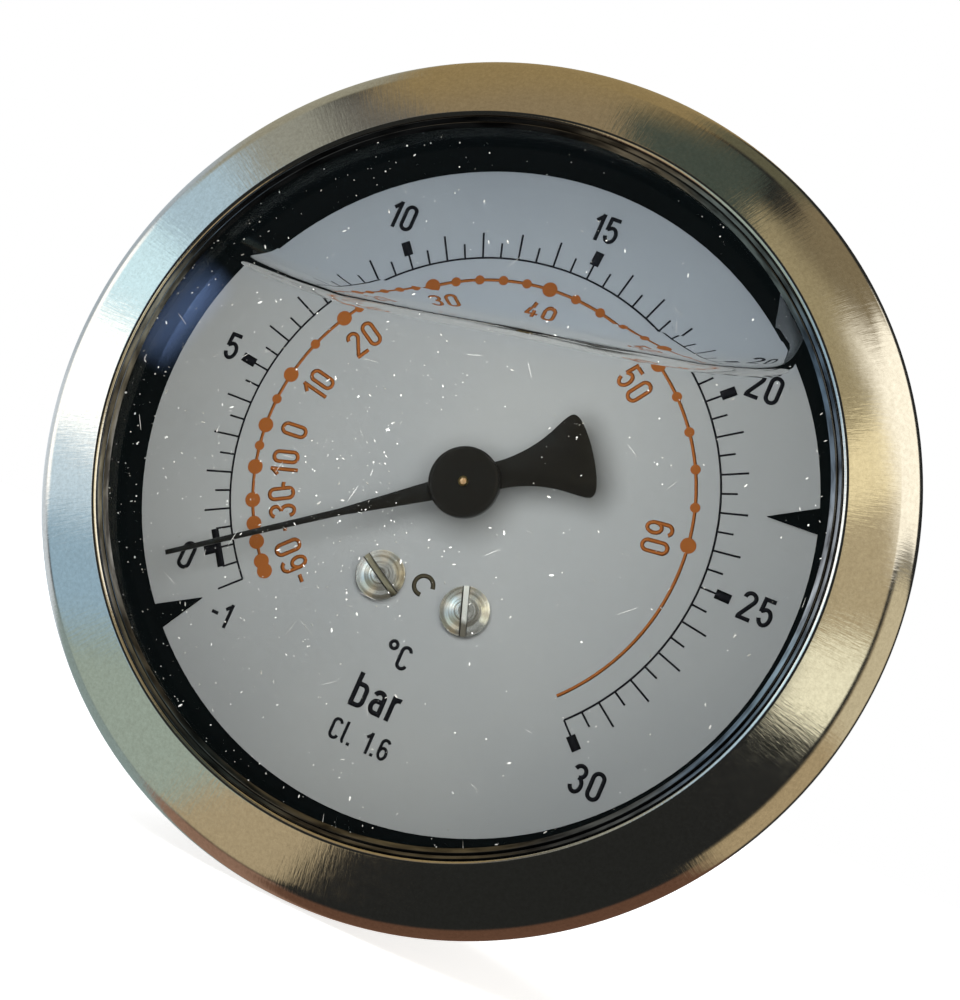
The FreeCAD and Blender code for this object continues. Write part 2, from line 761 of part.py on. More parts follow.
def spread(body, feature, axis_x, count, angle):
    """Repeats a cut about the line through (axis_x, 0) along Y."""
    marker = new_sketch(body, "XY_Plane")
    marker.addGeometry(Part.LineSegment(
        FreeCAD.Vector(number(axis_x), 0, 0), FreeCAD.Vector(number(axis_x), 1, 0)), True)
    pin_point(marker, 0, 1, (axis_x, "0"))
    pin_point(marker, 0, 2, (axis_x, "1"))
    pattern = body.newObject("PartDesign::PolarPattern", "PolarPattern")
    pattern.Originals = [feature]
    pattern.Axis = (marker, ["Axis0"])
    pattern.setExpression("Angle", bound(angle))
    pattern.setExpression("Occurrences", bound(count))
    body.Tip = pattern
    doc.recompute()
    return pattern


def make_pinion_arbor():
    """Arbor with its pinion, from the pivot in the rear plate to the pin in the pointer's hub."""
    body = new_body("pinion_arbor")
    teeth_front = "innerFrontY + pinionFrontGap"
    teeth_back = teeth_front + " + pinionLength"
    tip = "pinionPitch + toothTip * gearModule"
    revolve(body, [
        ("0", "hubFrontY - pinStandOut"),
        ("pinRadius", "hubFrontY - pinStandOut"),
        ("pinRadius", "hubBackY"),
        ("arborRadius", "dialFrontY"),
        ("arborRadius", teeth_front),
        (tip, teeth_front),
        (tip, teeth_back),
        ("arborRadius", teeth_back),
        ("arborRadius", "innerBackY - pivotFloat"),
        ("arborPivotRadius", "innerBackY - pivotFloat"),
        ("arborPivotRadius", "rearPlateBackY"),
        ("0", "rearPlateBackY"),
    ])
    gap = pocket(body, teeth_front + " - cutMargin", "pinionLength + 2 * cutMargin", gap_outline(
        "pinionTeeth", "pinionPitch", "180 / pinionTeeth", "0", True))
    spread(body, gap, "0", "pinionTeeth", "360")
    return body


def make_sector():
    """Toothed sector with a lightening window and a tail for the link."""
    body = new_body("sector_gear")
    centre = "axisDistance"
    first = "(180 - gapsBelow * sectorStep)"
    last = "(180 + gapsAbove * sectorStep)"
    tip = "sectorPitch + toothTip * gearModule"
    rim = "sectorPitch - sectorRimWidth"
    window = "openingRadius"
    hub = "sectorHubRadius"

    def about(radius, angle, sideways="0"):
        return polar(radius, angle, sideways, x=centre)

    corners = [
        about(tip, first), about(tip, last), about(rim, last),
        about(hub, last + " + sectorArmSpread"),
        about(hub, "tailAngle - tailSpread"),
        about("tailRadius", "tailAngle", "-tailHalfWidth"),
        about("tailRadius", "tailAngle", "tailHalfWidth"),
        about(hub, "tailAngle + tailSpread"),
        about(hub, first + " - sectorArmSpread"),
        about(rim, first),
    ]
    arcs = {0: (tip, 1), 3: (hub, 1), 5: ("tailEndRadius", 1), 7: (hub, 1)}
    pad(body, "sectorBackY", "sectorThickness", outline(corners, arcs, [
        (centre, "0", "arborRadius"), ("linkPinX", "linkPinZ", "linkPinRadius")]))
    opening = [
        about(rim, first + " + openingRimMargin"), about(rim, last + " - openingRimMargin"),
        about(window, last + " - openingHubMargin"), about(window, first + " + openingHubMargin"),
    ]
    through = ("sectorFrontY - cutMargin", "sectorThickness + 2 * cutMargin")
    pocket(body, *through, outline(opening, {0: (rim, 1), 2: (window, -1)}))
    gap = pocket(body, *through, gap_outline(
        "sectorTeeth", "sectorPitch", last, centre, False))
    spread(body, gap, centre, "gapsBelow + gapsAbove + 1", "(gapsBelow + gapsAbove) * sectorStep")
    return body


def make_sector_arbor():
    body = new_body("sector_arbor")
    revolve(body, [
        ("0", "frontPlateY"),
        ("arborPivotRadius", "frontPlateY"),
        ("arborPivotRadius", "innerFrontY + pivotFloat"),
        ("arborRadius", "innerFrontY + pivotFloat"),
        ("arborRadius", "sectorBackY"),
        ("arborFlangeRadius", "sectorBackY"),
        ("arborFlangeRadius", "sectorBackY + sectorThickness"),
        ("arborRadius", "sectorBackY + sectorThickness"),
        ("arborRadius", "innerBackY - pivotFloat"),
        ("arborPivotRadius", "innerBackY - pivotFloat"),
        ("arborPivotRadius", "rearPlateBackY"),
        ("0", "rearPlateBackY"),
    ], x="axisDistance")
    return body


def make_link_pin():
    """Rivet that holds the link on the sector's tail."""
    body = new_body("link_pin")
    revolve(body, [
        ("0", "sectorFrontY - linkPinHeadThickness"),
        ("linkPinHeadRadius", "sectorFrontY - linkPinHeadThickness"),
        ("linkPinHeadRadius", "sectorFrontY"),
        ("linkPinRadius", "sectorFrontY"),
        ("linkPinRadius", "linkBackY + linkGap"),
        ("linkPinHeadRadius", "linkBackY + linkGap"),
        ("linkPinHeadRadius", "linkBackY + linkGap + linkPinHeadThickness"),
        ("0", "linkBackY + linkGap + linkPinHeadThickness"),
    ], x="linkPinX", z="linkPinZ")
    return body


def make_link():
    """Flat link with an eye at each end."""
    body = new_body("link")
    eyes = [("linkPinX", "linkPinZ"), ("tipPinX", "tipPinZ")]
    pad(body, "linkBackY", "linkThickness", circles(*[(x, z, "linkHalfWidth") for x, z in eyes]))
    across = ("linkAlongZ * linkWaist / 2", "linkAlongX * linkWaist / 2")
    corners = [
        ("linkPinX + " + across[0], "linkPinZ - " + across[1]),
        ("tipPinX + " + across[0], "tipPinZ - " + across[1]),
        ("tipPinX - " + across[0], "tipPinZ + " + across[1]),
        ("linkPinX - " + across[0], "linkPinZ + " + across[1]),
    ]
    pad(body, "linkBackY", "linkThickness", outline(corners))
    pocket(body, "linkFrontY - cutMargin", "linkThickness + 2 * cutMargin", circles(
        (*eyes[0], "linkPinRadius + pivotGap"), (*eyes[1], "tipPinRadius + openPivotGap")))
    return body


# Bourdon tube

def tube_section(inset):
    """Flattened oval, inset from the tube's outside, as corners and arcs of a sketch."""
    half = "(tubeThickness / 2 - %s)" % inset
    end = "(tubeEdgeRadius - %s)" % inset
    straight = "(tubeWidth / 2 - %s - (%s - sqrt(%s ^ 2 - %s ^ 2)))" % (inset, end, end, half)
    corners = [
        ("tubeRadius - " + half, "tubeMiddleY - " + straight),
        ("tubeRadius + " + half, "tubeMiddleY - " + straight),
        ("tubeRadius + " + half, "tubeMiddleY + " + straight),
        ("tubeRadius - " + half, "tubeMiddleY + " + straight),
    ]
    return corners, {0: (end, 1), 2: (end, 1)}


def make_tube():
    """C-shaped tube from six o'clock over nine and twelve o'clock to its free end."""
    body = new_body("bourdon_tube")
    sketch = new_sketch(body, "XY_Plane")
    draw_outline(sketch, *tube_section("0"))
    draw_outline(sketch, *tube_section("tubeWall"))
    bend = body.newObject("PartDesign::Revolution", "Revolution")
    bend.Profile = sketch
    bend.ReferenceAxis = (sketch, ["V_Axis"])
    bend.setExpression("Angle", bound("tubeSweep"))
    body.Placement = FreeCAD.Placement(
        FreeCAD.Vector(), FreeCAD.Rotation(FreeCAD.Vector(0, 1, 0), 90))
    doc.recompute()
    return body


def make_tube_tip():
    """End piece that closes the tube and carries the link's pin in front of it."""
    body = new_body("tube_tip")
    inner = "tubeRadius - tubeThickness / 2 - tipBlockMargin"
    outer = "tubeRadius + tubeThickness / 2 + tipBlockMargin"
    start = "(tubeEndAngle - brazeGap / tubeRadius * 180 / pi)"
    pad(body, "tubeBackY + tipBlockMargin", "tubeWidth + 2 * tipBlockMargin", outline([
        polar(inner, "tipBlockEndAngle"), polar(outer, "tipBlockEndAngle"),
        polar(outer, start), polar(inner, start)]))
    pad(body, "tubeFrontY", "tubeFrontY - lugFrontY",
        circles(("tipPinX", "tipPinZ", "tipLugRadius")))
    pocket(body, "lugFrontY - cutMargin", "tipPinSeat + cutMargin",
           circles(("tipPinX", "tipPinZ", "tipPinRadius")))
    return body


def make_tip_pin():
    body = new_body("tip_pin")
    revolve(body, [
        ("0", "linkFrontY - linkGap - linkPinHeadThickness"),
        ("linkPinHeadRadius", "linkFrontY - linkGap - linkPinHeadThickness"),
        ("linkPinHeadRadius", "linkFrontY - linkGap"),
        ("tipPinRadius", "linkFrontY - linkGap"),
        ("tipPinRadius", "lugFrontY + tipPinSeat"),
        ("0", "lugFrontY + tipPinSeat"),
    ], x="tipPinX", z="tipPinZ")
    return body


# Hairspring

def make_hairspring():
    """Flat spiral of half circles, its inner end at the collet and its outer end at the stud."""
    inner, pitch = number("springInner"), number("springPitch")
    half, height = number("springStrip") / 2, number("springHeight")
    halves = int(round(2 * number("springTurns")))

    def half_circles(offset):
        edges = []
        for k in range(halves):
            side = 1 if k % 2 == 0 else -1
            centre = 0 if side > 0 else pitch / 2
            radius = inner + k * pitch / 2 + offset
            points = [FreeCAD.Vector(centre + radius * side, 0, 0),
                      FreeCAD.Vector(centre, 0, radius * side),
                      FreeCAD.Vector(centre - radius * side, 0, 0)]
            edges.append(Part.Arc(*points).toShape())
        return edges

    near, far = half_circles(-half), half_circles(half)
    ends = []
    for place in (inner, inner + halves * pitch / 2):
        ends.append(Part.makeLine((place - half, 0, 0), (place + half, 0, 0)))
    face = Part.Face(Part.Wire(Part.__sortEdges__(near + far + ends)))
    spring = doc.addObject("Part::Feature", "Hairspring")
    spring.Label = "hairspring"
    spring.Shape = face.extrude(FreeCAD.Vector(0, height, 0))
    spring.Placement = FreeCAD.Placement(
        FreeCAD.Vector(0, number("springFrontY"), 0),
        FreeCAD.Rotation(FreeCAD.Vector(0, 1, 0), -number("springEndAngle")))
    return spring


def make_collet():
    body = new_body("hairspring_collet")
    rise = "(colletHeight - springHeight) / 2"
    pad(body, "springBackY + " + rise, "colletHeight", circles(
        ("0", "0", "colletRadius"), ("0", "0", "arborRadius")))
    return body


def make_stud():
    """Post on the rear plate that holds the outer end of the hairspring."""
    body = new_body("hairspring_stud")
    pad(body, "innerBackY", "innerBackY - springFrontY", circles(
        (*polar("studDistance", "springEndAngle"), "studRadius")))
    return body


# Socket and stem

def rectangle(left, right, low, high):
    return outline([(left, low), (right, low), (right, high), (left, high)])


def make_socket():
    """Brass body: block for the movement, arm for the tube, foot on the case back and stem."""
    body = new_body("socket")
    end = "threadLength + spigotLength"
    groove = "sealRadius - sealSection - sealGap"
    groove_outside = "sealRadius + sealSection + sealGap"
    groove_bottom = "caseInnerBackY - 2 * sealSection"
    revolve(body, [
        ("0", "rearPlateBackY"),
        ("coreRadius", "rearPlateBackY"),
        ("coreRadius", "footFrontY"),
        ("footRadius", "footFrontY"),
        ("footRadius", "caseInnerBackY"),
        (groove_outside, "caseInnerBackY"),
        (groove_outside, groove_bottom),
        (groove, groove_bottom),
        (groove, "caseInnerBackY"),
        ("stemNeckRadius", "caseInnerBackY"),
        ("stemNeckRadius", "0"),
        ("threadRadius", "0"),
        ("threadRadius", "threadLength - threadChamfer"),
        ("threadRadius - threadChamfer", "threadLength"),
        ("spigotRadius", "threadLength"),
        ("spigotRadius", end),
        ("boreRadius", end),
        ("boreRadius", "tubeMiddleY"),
        ("0", "tubeMiddleY + boreRadius / 2"),
    ])
    pocket(body, "footFrontY - cutMargin", "footThickness + 2 * cutMargin", rectangle(
        "-footRadius", "footRadius", "footFlatZ", "footRadius"))
    pad(body, "footFrontY", "footFrontY - rearPlateBackY", rectangle(
        "-blockHalfWidth", "blockHalfWidth", "-blockBottom", "blockTop"))
    pad(body, "tubeBackY + armMargin", "tubeWidth + 2 * armMargin", rectangle(
        "0", "armWidth", "-armReach", "-(blockBottom - armOverlap)"))
    far = "2 * stemNeckRadius"
    flat = "flatsWidth / 2"
    for left, right, low, high in (
            (flat, far, "-" + far, far), ("-" + far, "-" + flat, "-" + far, far),
            ("-" + far, far, flat, far), ("-" + far, far, "-" + far, "-" + flat)):
        pocket(body, "caseBackY + flatsStart", "flatsLength - flatsStart",
               rectangle(left, right, low, high))
    pocket(body, "rearPlateBackY", "blockScrewLength", circles(
        *[(x, z, "blockScrewShank + seatGap") for x, z in BLOCK_SCREWS]))
    pocket(body, "footFrontY - cutMargin", "footThickness + 2 * cutMargin", circles(
        *[(x, "0", "caseScrewShank + seatGap") for x in CASE_SCREWS]))
    return body


def make_restrictor():
    """Screwed plug with a fine hole that calms the pressure at the inlet."""
    body = new_body("restrictor")
    pad(body, "threadLength + spigotLength - restrictorDepth", "restrictorLength", circles(
        ("0", "0", "boreRadius"), ("0", "0", "restrictorHole")))
    return body


def make_stem_seal():
    """Round sealing ring in the foot's groove, against the case back."""
    body = new_body("stem_seal")
    sketch = new_sketch(body, "XY_Plane")
    draw_circle(sketch, "sealRadius", "caseInnerBackY - sealSection", "sealSection")
    turned = body.newObject("PartDesign::Revolution", "Revolution")
    turned.Profile = sketch
    turned.ReferenceAxis = (sketch, ["V_Axis"])
    turned.Angle = 360
    doc.recompute()
    return body


def make_fill_plug():
    """Rubber plug for filling, which also lets go if the case is under pressure."""
    body = new_body("fill_plug")
    rim = "caseBackY + plugHeadHeight"
    revolve(body, [
        ("0", rim),
        ("plugHeadRadius", rim),
        ("plugHeadRadius", "caseBackY"),
        ("plugNeckRadius", "caseBackY"),
        ("plugNeckRadius", "caseInnerBackY"),
        ("plugLipRadius", "caseInnerBackY"),
        ("plugNeckRadius", "caseInnerBackY - plugLipHeight"),
        ("0", "caseInnerBackY - plugLipHeight"),
    ], z="plugCircle")
    round_rings(body, "plugHeadHeight / 2", [("plugHeadRadius", rim)], z="plugCircle")
    return body


# Screws

def make_screw(x, z, kind, seat, slot_angle, towards="-"):
    """A slotted screw. Its domed head lies on y = seat and stands towards -Y or +Y."""
    body = new_body("%s_%s_%s" % (kind, x, z))
    away = "+" if towards == "-" else "-"
    turn = 1 if towards == "-" else -1
    head, height, dome = kind + "Head", kind + "Height", kind + "Dome"
    shank, slot = kind + "Shank", kind + "Slot"
    end = "%s %s %s" % (seat, away, kind + "Length")
    top = "%s %s %s" % (seat, towards, height)
    revolve(body, [
        ("0", top),
        (head, "%s %s %s" % (top, away, dome)),
        (head, seat),
        (shank, seat),
        (shank, end),
        ("0", end),
    ], {0: ("(%s ^ 2 + %s ^ 2) / (2 * %s)" % (head, dome, dome), turn)}, x, z)
    reach = "(%s + cutMargin)" % head
    cut = outline([
        polar(along + reach, slot_angle, across + slot + " / 2", x, z)
        for along, across in (("-", "-"), ("", "-"), ("", ""), ("-", ""))])
    depth = height + " / 2"
    front = top if towards == "-" else "%s - %s" % (top, depth)
    pocket(body, front, depth, cut)
    return body


def make_screws(label, kind, seat, places, angles, towards="-"):
    return group(label, [
        make_screw(x, z, kind, seat, angle, towards) for (x, z), angle in zip(places, angles)])


CASE_SCREWS = ["caseScrewCircle", "-caseScrewCircle"]

parts = [
    make_case(),
    make_bezel(),
    make_window(),
    make_gasket(),
    make_dial_ring(),
    make_dial(),
    make_dial_posts(),
    make_pointer(),
    make_pointer_hub(),
    make_front_plate(),
    make_rear_plate(),
    make_pillars(),
    make_pinion_arbor(),
    make_sector(),
    make_sector_arbor(),
    make_link_pin(),
    make_link(),
    make_tube(),
    make_tube_tip(),
    make_tip_pin(),
    make_hairspring(),
    make_collet(),
    make_stud(),
    make_socket(),
    make_restrictor(),
    make_stem_seal(),
    make_fill_plug(),
    make_screws("dial_screws", "dialScrew", "dialFrontY",
                [place[:2] for place in post_places("")], ["-30.5", "109.3"]),
    make_screws("plate_screws", "plateScrew", "frontPlateY", PILLARS, ["20", "75", "-35"]),
    make_screws("movement_screws", "blockScrew", "innerBackY", BLOCK_SCREWS, ["12", "64"]),
    make_screws("case_screws", "caseScrew", "caseBackY",
                [(x, "0") for x in CASE_SCREWS], ["40", "-70"], "+"),
]

doc.recompute()
for item in doc.Objects:
    if "Invalid" in item.State or "Error" in item.State:
        raise RuntimeError("%s (%s) is not valid: %s" % (item.Name, item.Label, item.State))
for part in parts:
    if part.Shape.isNull() or not part.Shape.isValid():
        raise RuntimeError("the shape of %s is not valid" % part.Label)
for part in parts:
    part.Shape.exportStep(os.path.join("parts", part.Label + ".step"))
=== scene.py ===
import math
import random

import bmesh
import bpy
from mathutils import Matrix, Vector


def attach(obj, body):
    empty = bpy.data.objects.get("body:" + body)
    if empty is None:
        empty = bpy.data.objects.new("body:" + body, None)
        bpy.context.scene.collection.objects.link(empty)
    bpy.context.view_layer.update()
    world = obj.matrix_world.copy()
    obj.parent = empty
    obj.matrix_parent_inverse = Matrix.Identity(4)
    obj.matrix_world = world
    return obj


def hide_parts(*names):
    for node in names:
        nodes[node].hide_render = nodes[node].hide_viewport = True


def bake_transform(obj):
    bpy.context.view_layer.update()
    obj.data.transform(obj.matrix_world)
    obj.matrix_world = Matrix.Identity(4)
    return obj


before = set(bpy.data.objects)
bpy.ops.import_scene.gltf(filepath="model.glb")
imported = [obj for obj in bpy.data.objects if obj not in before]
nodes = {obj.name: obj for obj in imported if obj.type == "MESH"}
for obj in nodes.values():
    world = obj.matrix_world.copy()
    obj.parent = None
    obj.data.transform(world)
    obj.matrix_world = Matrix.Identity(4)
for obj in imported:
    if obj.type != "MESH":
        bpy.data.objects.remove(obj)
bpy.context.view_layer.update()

scene = bpy.context.scene
scene.view_settings.view_transform = "Standard"
random.seed(63)
mm = 0.001
print("frame loaded:", len(nodes), "nodes")


def hexColour(text, strength=1.0):
    # sRGB hex to the linear values that colour sockets take
    channels = [int(text[i:i + 2], 16) / 255 for i in (1, 3, 5)]
    linear = [c / 12.92 if c <= 0.04045 else ((c + 0.055) / 1.055) ** 2.4 for c in channels]
    return (*[c * strength for c in linear], 1.0)


def connect(tree, node, inputs):
    for name, value in inputs.items():
        if isinstance(value, bpy.types.NodeSocket):
            tree.links.new(value, node.inputs[name])
        else:
            node.inputs[name].default_value = value


def addNode(tree, kind, settings={}, inputs={}):
    node = tree.nodes.new(kind)
    for name, value in settings.items():
        if name == "stops":
            ramp = node.color_ramp.elements
            ramp[0].position, ramp[0].color = value[0][0], hexColour(value[0][1])
            ramp[1].position, ramp[1].color = value[-1][0], hexColour(value[-1][1])
            for place, colour in value[1:-1]:
                ramp.new(place).color = hexColour(colour)
        else:
            setattr(node, name, value)
    connect(tree, node, inputs)
    return node


def startMaterial(name):
    material = bpy.data.materials.new(name)
    material.use_nodes = True
    tree = material.node_tree
    return material, tree, tree.nodes["Principled BSDF"]


def ringVector(tree, centre, around, across, depth=0.0, paired=False):
    # Noise space that runs round the Y axis through centre, in cells per radian, per metre of radius and per
    # metre of depth; paired means a twin on the other side of the dial's middle
    place = addNode(tree, "ShaderNodeTexCoord").outputs["Object"]
    if paired:
        place = addNode(tree, "ShaderNodeVectorMath", {"operation": "ABSOLUTE"}, {0: place}).outputs[0]
    shifted = addNode(tree, "ShaderNodeMapping", {}, {
        "Vector": place, "Location": (-centre[0] * mm, 0.0, -centre[1] * mm)}).outputs[0]
    flat = addNode(tree, "ShaderNodeVectorMath", {"operation": "MULTIPLY"}, {
        0: shifted, 1: (1.0, 0.0, 1.0)}).outputs[0]
    radius = addNode(tree, "ShaderNodeVectorMath", {"operation": "LENGTH"}, {0: flat}).outputs["Value"]
    turn = addNode(tree, "ShaderNodeVectorMath", {"operation": "NORMALIZE"}, {0: flat}).outputs[0]
    turn = addNode(tree, "ShaderNodeVectorMath", {"operation": "SCALE"}, {
        0: turn, "Scale": around}).outputs[0]
    height = addNode(tree, "ShaderNodeSeparateXYZ", {}, {0: shifted}).outputs["Y"]
    height = addNode(tree, "ShaderNodeMath", {"operation": "MULTIPLY"}, {0: height, 1: depth}).outputs[0]
    outward = addNode(tree, "ShaderNodeMath", {"operation": "MULTIPLY_ADD"}, {
        0: radius, 1: across, 2: height}).outputs[0]
    outward = addNode(tree, "ShaderNodeCombineXYZ", {}, {"Y": outward}).outputs[0]
    return addNode(tree, "ShaderNodeVectorMath", {"operation": "ADD"}, {0: turn, 1: outward}).outputs[0]


def grainedMaterial(name, finish):
    # Noise of that grain, in millimetres, gives the tones, a relief of that depth and the roughness. It runs
    # round the dial's axis where around gives its cells per radian, else straight and stretched.
    g = {"around": 0, "stretch": (1.0, 1.0, 1.0), "detail": 2.0, "fineness": 0.5, "depth": 0.0,
         "metallic": 0.0, "specular": 0.5, **finish}
    material, tree, shader = startMaterial(name)
    cells = 1000 / g["grain"]
    if g["around"]:
        space = ringVector(tree, (0, 0), g["around"], cells, cells)
    else:
        place = addNode(tree, "ShaderNodeTexCoord").outputs["Object"]
        space = addNode(tree, "ShaderNodeMapping", {}, {
            "Vector": place, "Scale": [cells * share for share in g["stretch"]]}).outputs[0]
    grain = addNode(tree, "ShaderNodeTexNoise", {}, {
        "Vector": space, "Scale": 1.0, "Detail": g["detail"], "Roughness": g["fineness"]}).outputs["Fac"]
    rough = addNode(tree, "ShaderNodeMapRange", {}, {
        "Value": grain, "To Min": g["roughness"][0], "To Max": g["roughness"][1]}).outputs["Result"]
    connect(tree, shader, {
        "Metallic": g["metallic"], "Roughness": rough, "Specular IOR Level": g["specular"]})
    if "tones" in g:
        tone = addNode(tree, "ShaderNodeValToRGB", {"stops": g["tones"]}, {"Fac": grain}).outputs["Color"]
    else:
        tone = hexColour(g["colour"])
    connect(tree, shader, {"Base Color": tone})
    if g["depth"]:
        relief = addNode(tree, "ShaderNodeBump", {}, {
            "Height": grain, "Strength": 1.0, "Distance": g["depth"] * mm}).outputs["Normal"]
        connect(tree, shader, {"Normal": relief})
    return material


def clamp(share):
    return min(max(share, 0.0), 1.0)


def compass(angle):
    return math.cos(math.radians(angle)), math.sin(math.radians(angle))


def between(known, place):
    # The value at a place between known pairs of place and value
    for (low, lowValue), (high, highValue) in zip(known, known[1:]):
        if place <= high:
            return lowValue + (highValue - lowValue) * (place - low) / (high - low)


def standing(front):
    # From millimetres on the dial to metres upright, with depth counted from front
    return Matrix(((mm, 0, 0, 0), (0, 0, mm, front * mm), (0, mm, 0, 0), (0, 0, 0, 1)))


def addObject(name, data):
    item = bpy.data.objects.new(name, data)
    scene.collection.objects.link(item)
    return item


def copyNode(name):
    bm = bmesh.new()
    bm.from_mesh(nodes[name].data)
    bmesh.ops.remove_doubles(bm, verts=bm.verts, dist=1e-6)
    return bm


def finishPiece(name, bm, body, material, smooth=40.0):
    # Writes a bmesh, in metres and in place, to an object at the origin
    mesh = bpy.data.meshes.new(name)
    bm.to_mesh(mesh)
    bm.free()
    mesh.materials.append(material)
    if smooth:
        mesh.shade_smooth()
        mesh.set_sharp_from_angle(angle=math.radians(smooth))
    piece = addObject(name, mesh)
    if body:
        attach(piece, body)
    return piece


def spinPiece(name, corners, body, material, steps=240, rounds=8):
    # Turns a closed outline of (radius, y, rounding) round the dial's axis
    outline = []
    for i, (r, y, rounding) in enumerate(corners):
        here = Vector((r, y))
        before = (Vector(corners[i - 1][:2]) - here).normalized()
        after = (Vector(corners[(i + 1) % len(corners)][:2]) - here).normalized()
        if not rounding:
            outline.append(here)
            continue
        half = before.angle(after) / 2
        centre = here + (before + after).normalized() * (rounding / math.sin(half))
        first = here + before * (rounding / math.tan(half)) - centre
        last = here + after * (rounding / math.tan(half)) - centre
        for k in range(rounds + 1):
            turn = math.pi / 2 * k / rounds
            way = first * math.cos(turn) + last * math.sin(turn)
            outline.append(centre + way.normalized() * rounding)
    bm = bmesh.new()
    start = [bm.verts.new((r * mm, y * mm, 0.0)) for r, y in outline]
    edges = [bm.edges.new(pair) for pair in zip(start, start[1:] + start[:1])]
    bmesh.ops.spin(bm, geom=start + edges, cent=(0, 0, 0), axis=(0, 1, 0), angle=math.radians(360),
                   steps=steps, use_merge=True)
    bmesh.ops.recalc_face_normals(bm, faces=bm.faces)
    return finishPiece(name, bm, body, material, smooth=30)


def coat(names, material):
    for name in names:
        mesh = nodes[name].data
        mesh.materials.clear()
        mesh.materials.append(material)


# Camera: a phone held about 12 cm from the dial, a little from the lower right, turned clockwise.

cameraSizes = {
    "location": (29.23, -160.1, -13.08),
    "right": (0.90017, 0.16694, 0.40227),
    "up": (-0.37322, -0.18042, 0.91003),
    "back": (0.2245, -0.96932, -0.1001),
    "lens": 56.94,
    "sensor": 36.0,
    "nearest": 5,
    "farthest": 10000,
    "imageTurn": 24.1,
}

cameraData = bpy.data.cameras.new("camera")
cameraData.lens = cameraSizes["lens"]
cameraData.sensor_width = cameraSizes["sensor"]
cameraData.clip_start = cameraSizes["nearest"] * mm
cameraData.clip_end = cameraSizes["farthest"] * mm
camera = addObject("camera", cameraData)
turned = Matrix([cameraSizes[key] for key in ("right", "up", "back")]).transposed()
camera.matrix_world = Matrix.Translation(Vector(cameraSizes["location"]) * mm) @ turned.to_4x4()
scene.camera = camera
print("camera placed")


# Studio: a plain room with soft cards in front of the dial, which the polished ring shows.

studioSizes = {
    "level": 0.37,
    "plainLight": "#FBFCFF",
    "room": ("#292A29", 1.0),
    "backdrop": ("#FFFFFF", 0.85),
    "backdropSpread": 13.0,
    "backdropSoftness": 5.0,
    "ringRadius": 30.7,
    "ringFront": -44.7,
    "ringSlope": 18.6,
    "shoulderSlope": 46.0,
    # cards that start this far from the axis are seen in the shoulder
    "shoulderFrom": 50,
    # where it starts and ends on the ring in the picture and its softness; then the least and greatest
    # angle away from the gauge's axis, their softness, the colour and its strength
    "cards": {
        "ceiling": (60, 101, 5, 34, 74, 5, "#988769", 1.0),
        "cupboard": (97, 113, 5, 34, 70, 6, "#706E69", 1.0),
        "cupboardEdge": (110, 128, 6, 34, 90, 6, "#A3A499", 1.0),
        "paleWall": (125, 142, 6, 34, 94, 6, "#BEDAED", 1.0),
        "blind": (140, 157, 4, 34, 92, 6, "#D2F2FF", 1.3),
        "window": (154, 175, 4, 34, 96, 8, "#FAFEFF", 1.7),
        "windowEdge": (173, 187, 6, 34, 92, 6, "#D7EEFF", 1.05),
        "blueWall": (185, 204, 7, 30, 84, 5, "#A3C3DA", 1.0),
        "greenWall": (202, 232, 8, 30, 84, 5, "#A8B8AE", 1.0),
        "lampShade": (230, 249, 3, 30, 72, 6, "#BCAB8A", 1.0),
        "doorEdge": (322, 336, 3, 30, 47, 3, "#FFFADC", 1.1),
        "creamWall": (335, 357, 4, 30, 49, 3, "#C2B28F", 1.0),
        "creamDoor": (354, 7, 3, 30, 49, 3, "#F8E8BA", 1.15),
        "tanWall": (6, 42, 4, 30, 52, 3, "#AA9D7A", 1.0),
        "greenShelf": (42, 64, 3, 30, 62, 4, "#4A544C", 1.0),
        "sunnyDoor": (345, 19, 6, 47, 124, 3, "#FFF8E6", 1.4),
        "tanSide": (19, 38, 6, 50, 118, 5, "#8A7C60", 1.0),
        "darkSide": (38, 56, 6, 70, 120, 5, "#66644F", 1.0),
        "oliveSide": (54, 100, 8, 62, 166, 6, "#A18C62", 1.0),
        "greySide": (98, 130, 8, 76, 166, 6, "#A5A290", 1.0),
        "paleSide": (126, 160, 10, 92, 166, 8, "#B8C4CE", 1.0),
        "skySide": (160, 200, 10, 92, 166, 8, "#DCE6F0", 1.0),
        "blueSide": (198, 228, 8, 82, 166, 6, "#93A5A4", 1.0),
        "brickSide": (226, 246, 6, 76, 166, 6, "#9A7A68", 1.0),
        "brownSide": (244, 302, 8, 84, 166, 6, "#6A4C3C", 1.0),
        "tanCorner": (302, 342, 8, 58, 140, 6, "#B8A480", 1.0),
        "brightSky": (142, 182, 6, 80, 98, 5, "#FFFFFF", 1.6),
        "creamCorner": (324, 346, 6, 60, 140, 6, "#D8CBAA", 1.0),
        "nearRoom": (0, 359.9, 0, 0, 30, 3, "#626260", 1.0),
        # a pale rim of light round the whole scene, which the small round edges pick up
        "crown": (0, 359.9, 0, 32, 36, 1.5, "#FFFFFF", 2.4),
    },
    # small bright panes that the flat window mirrors over the black ring: angle round the axis and half
    # width, then as above
    "panes": {
        "bluePane": (163.3, 2.2, 3.0, 26.0, 27.1, 0.6, "#96B6F2", 3.6),
    },
}


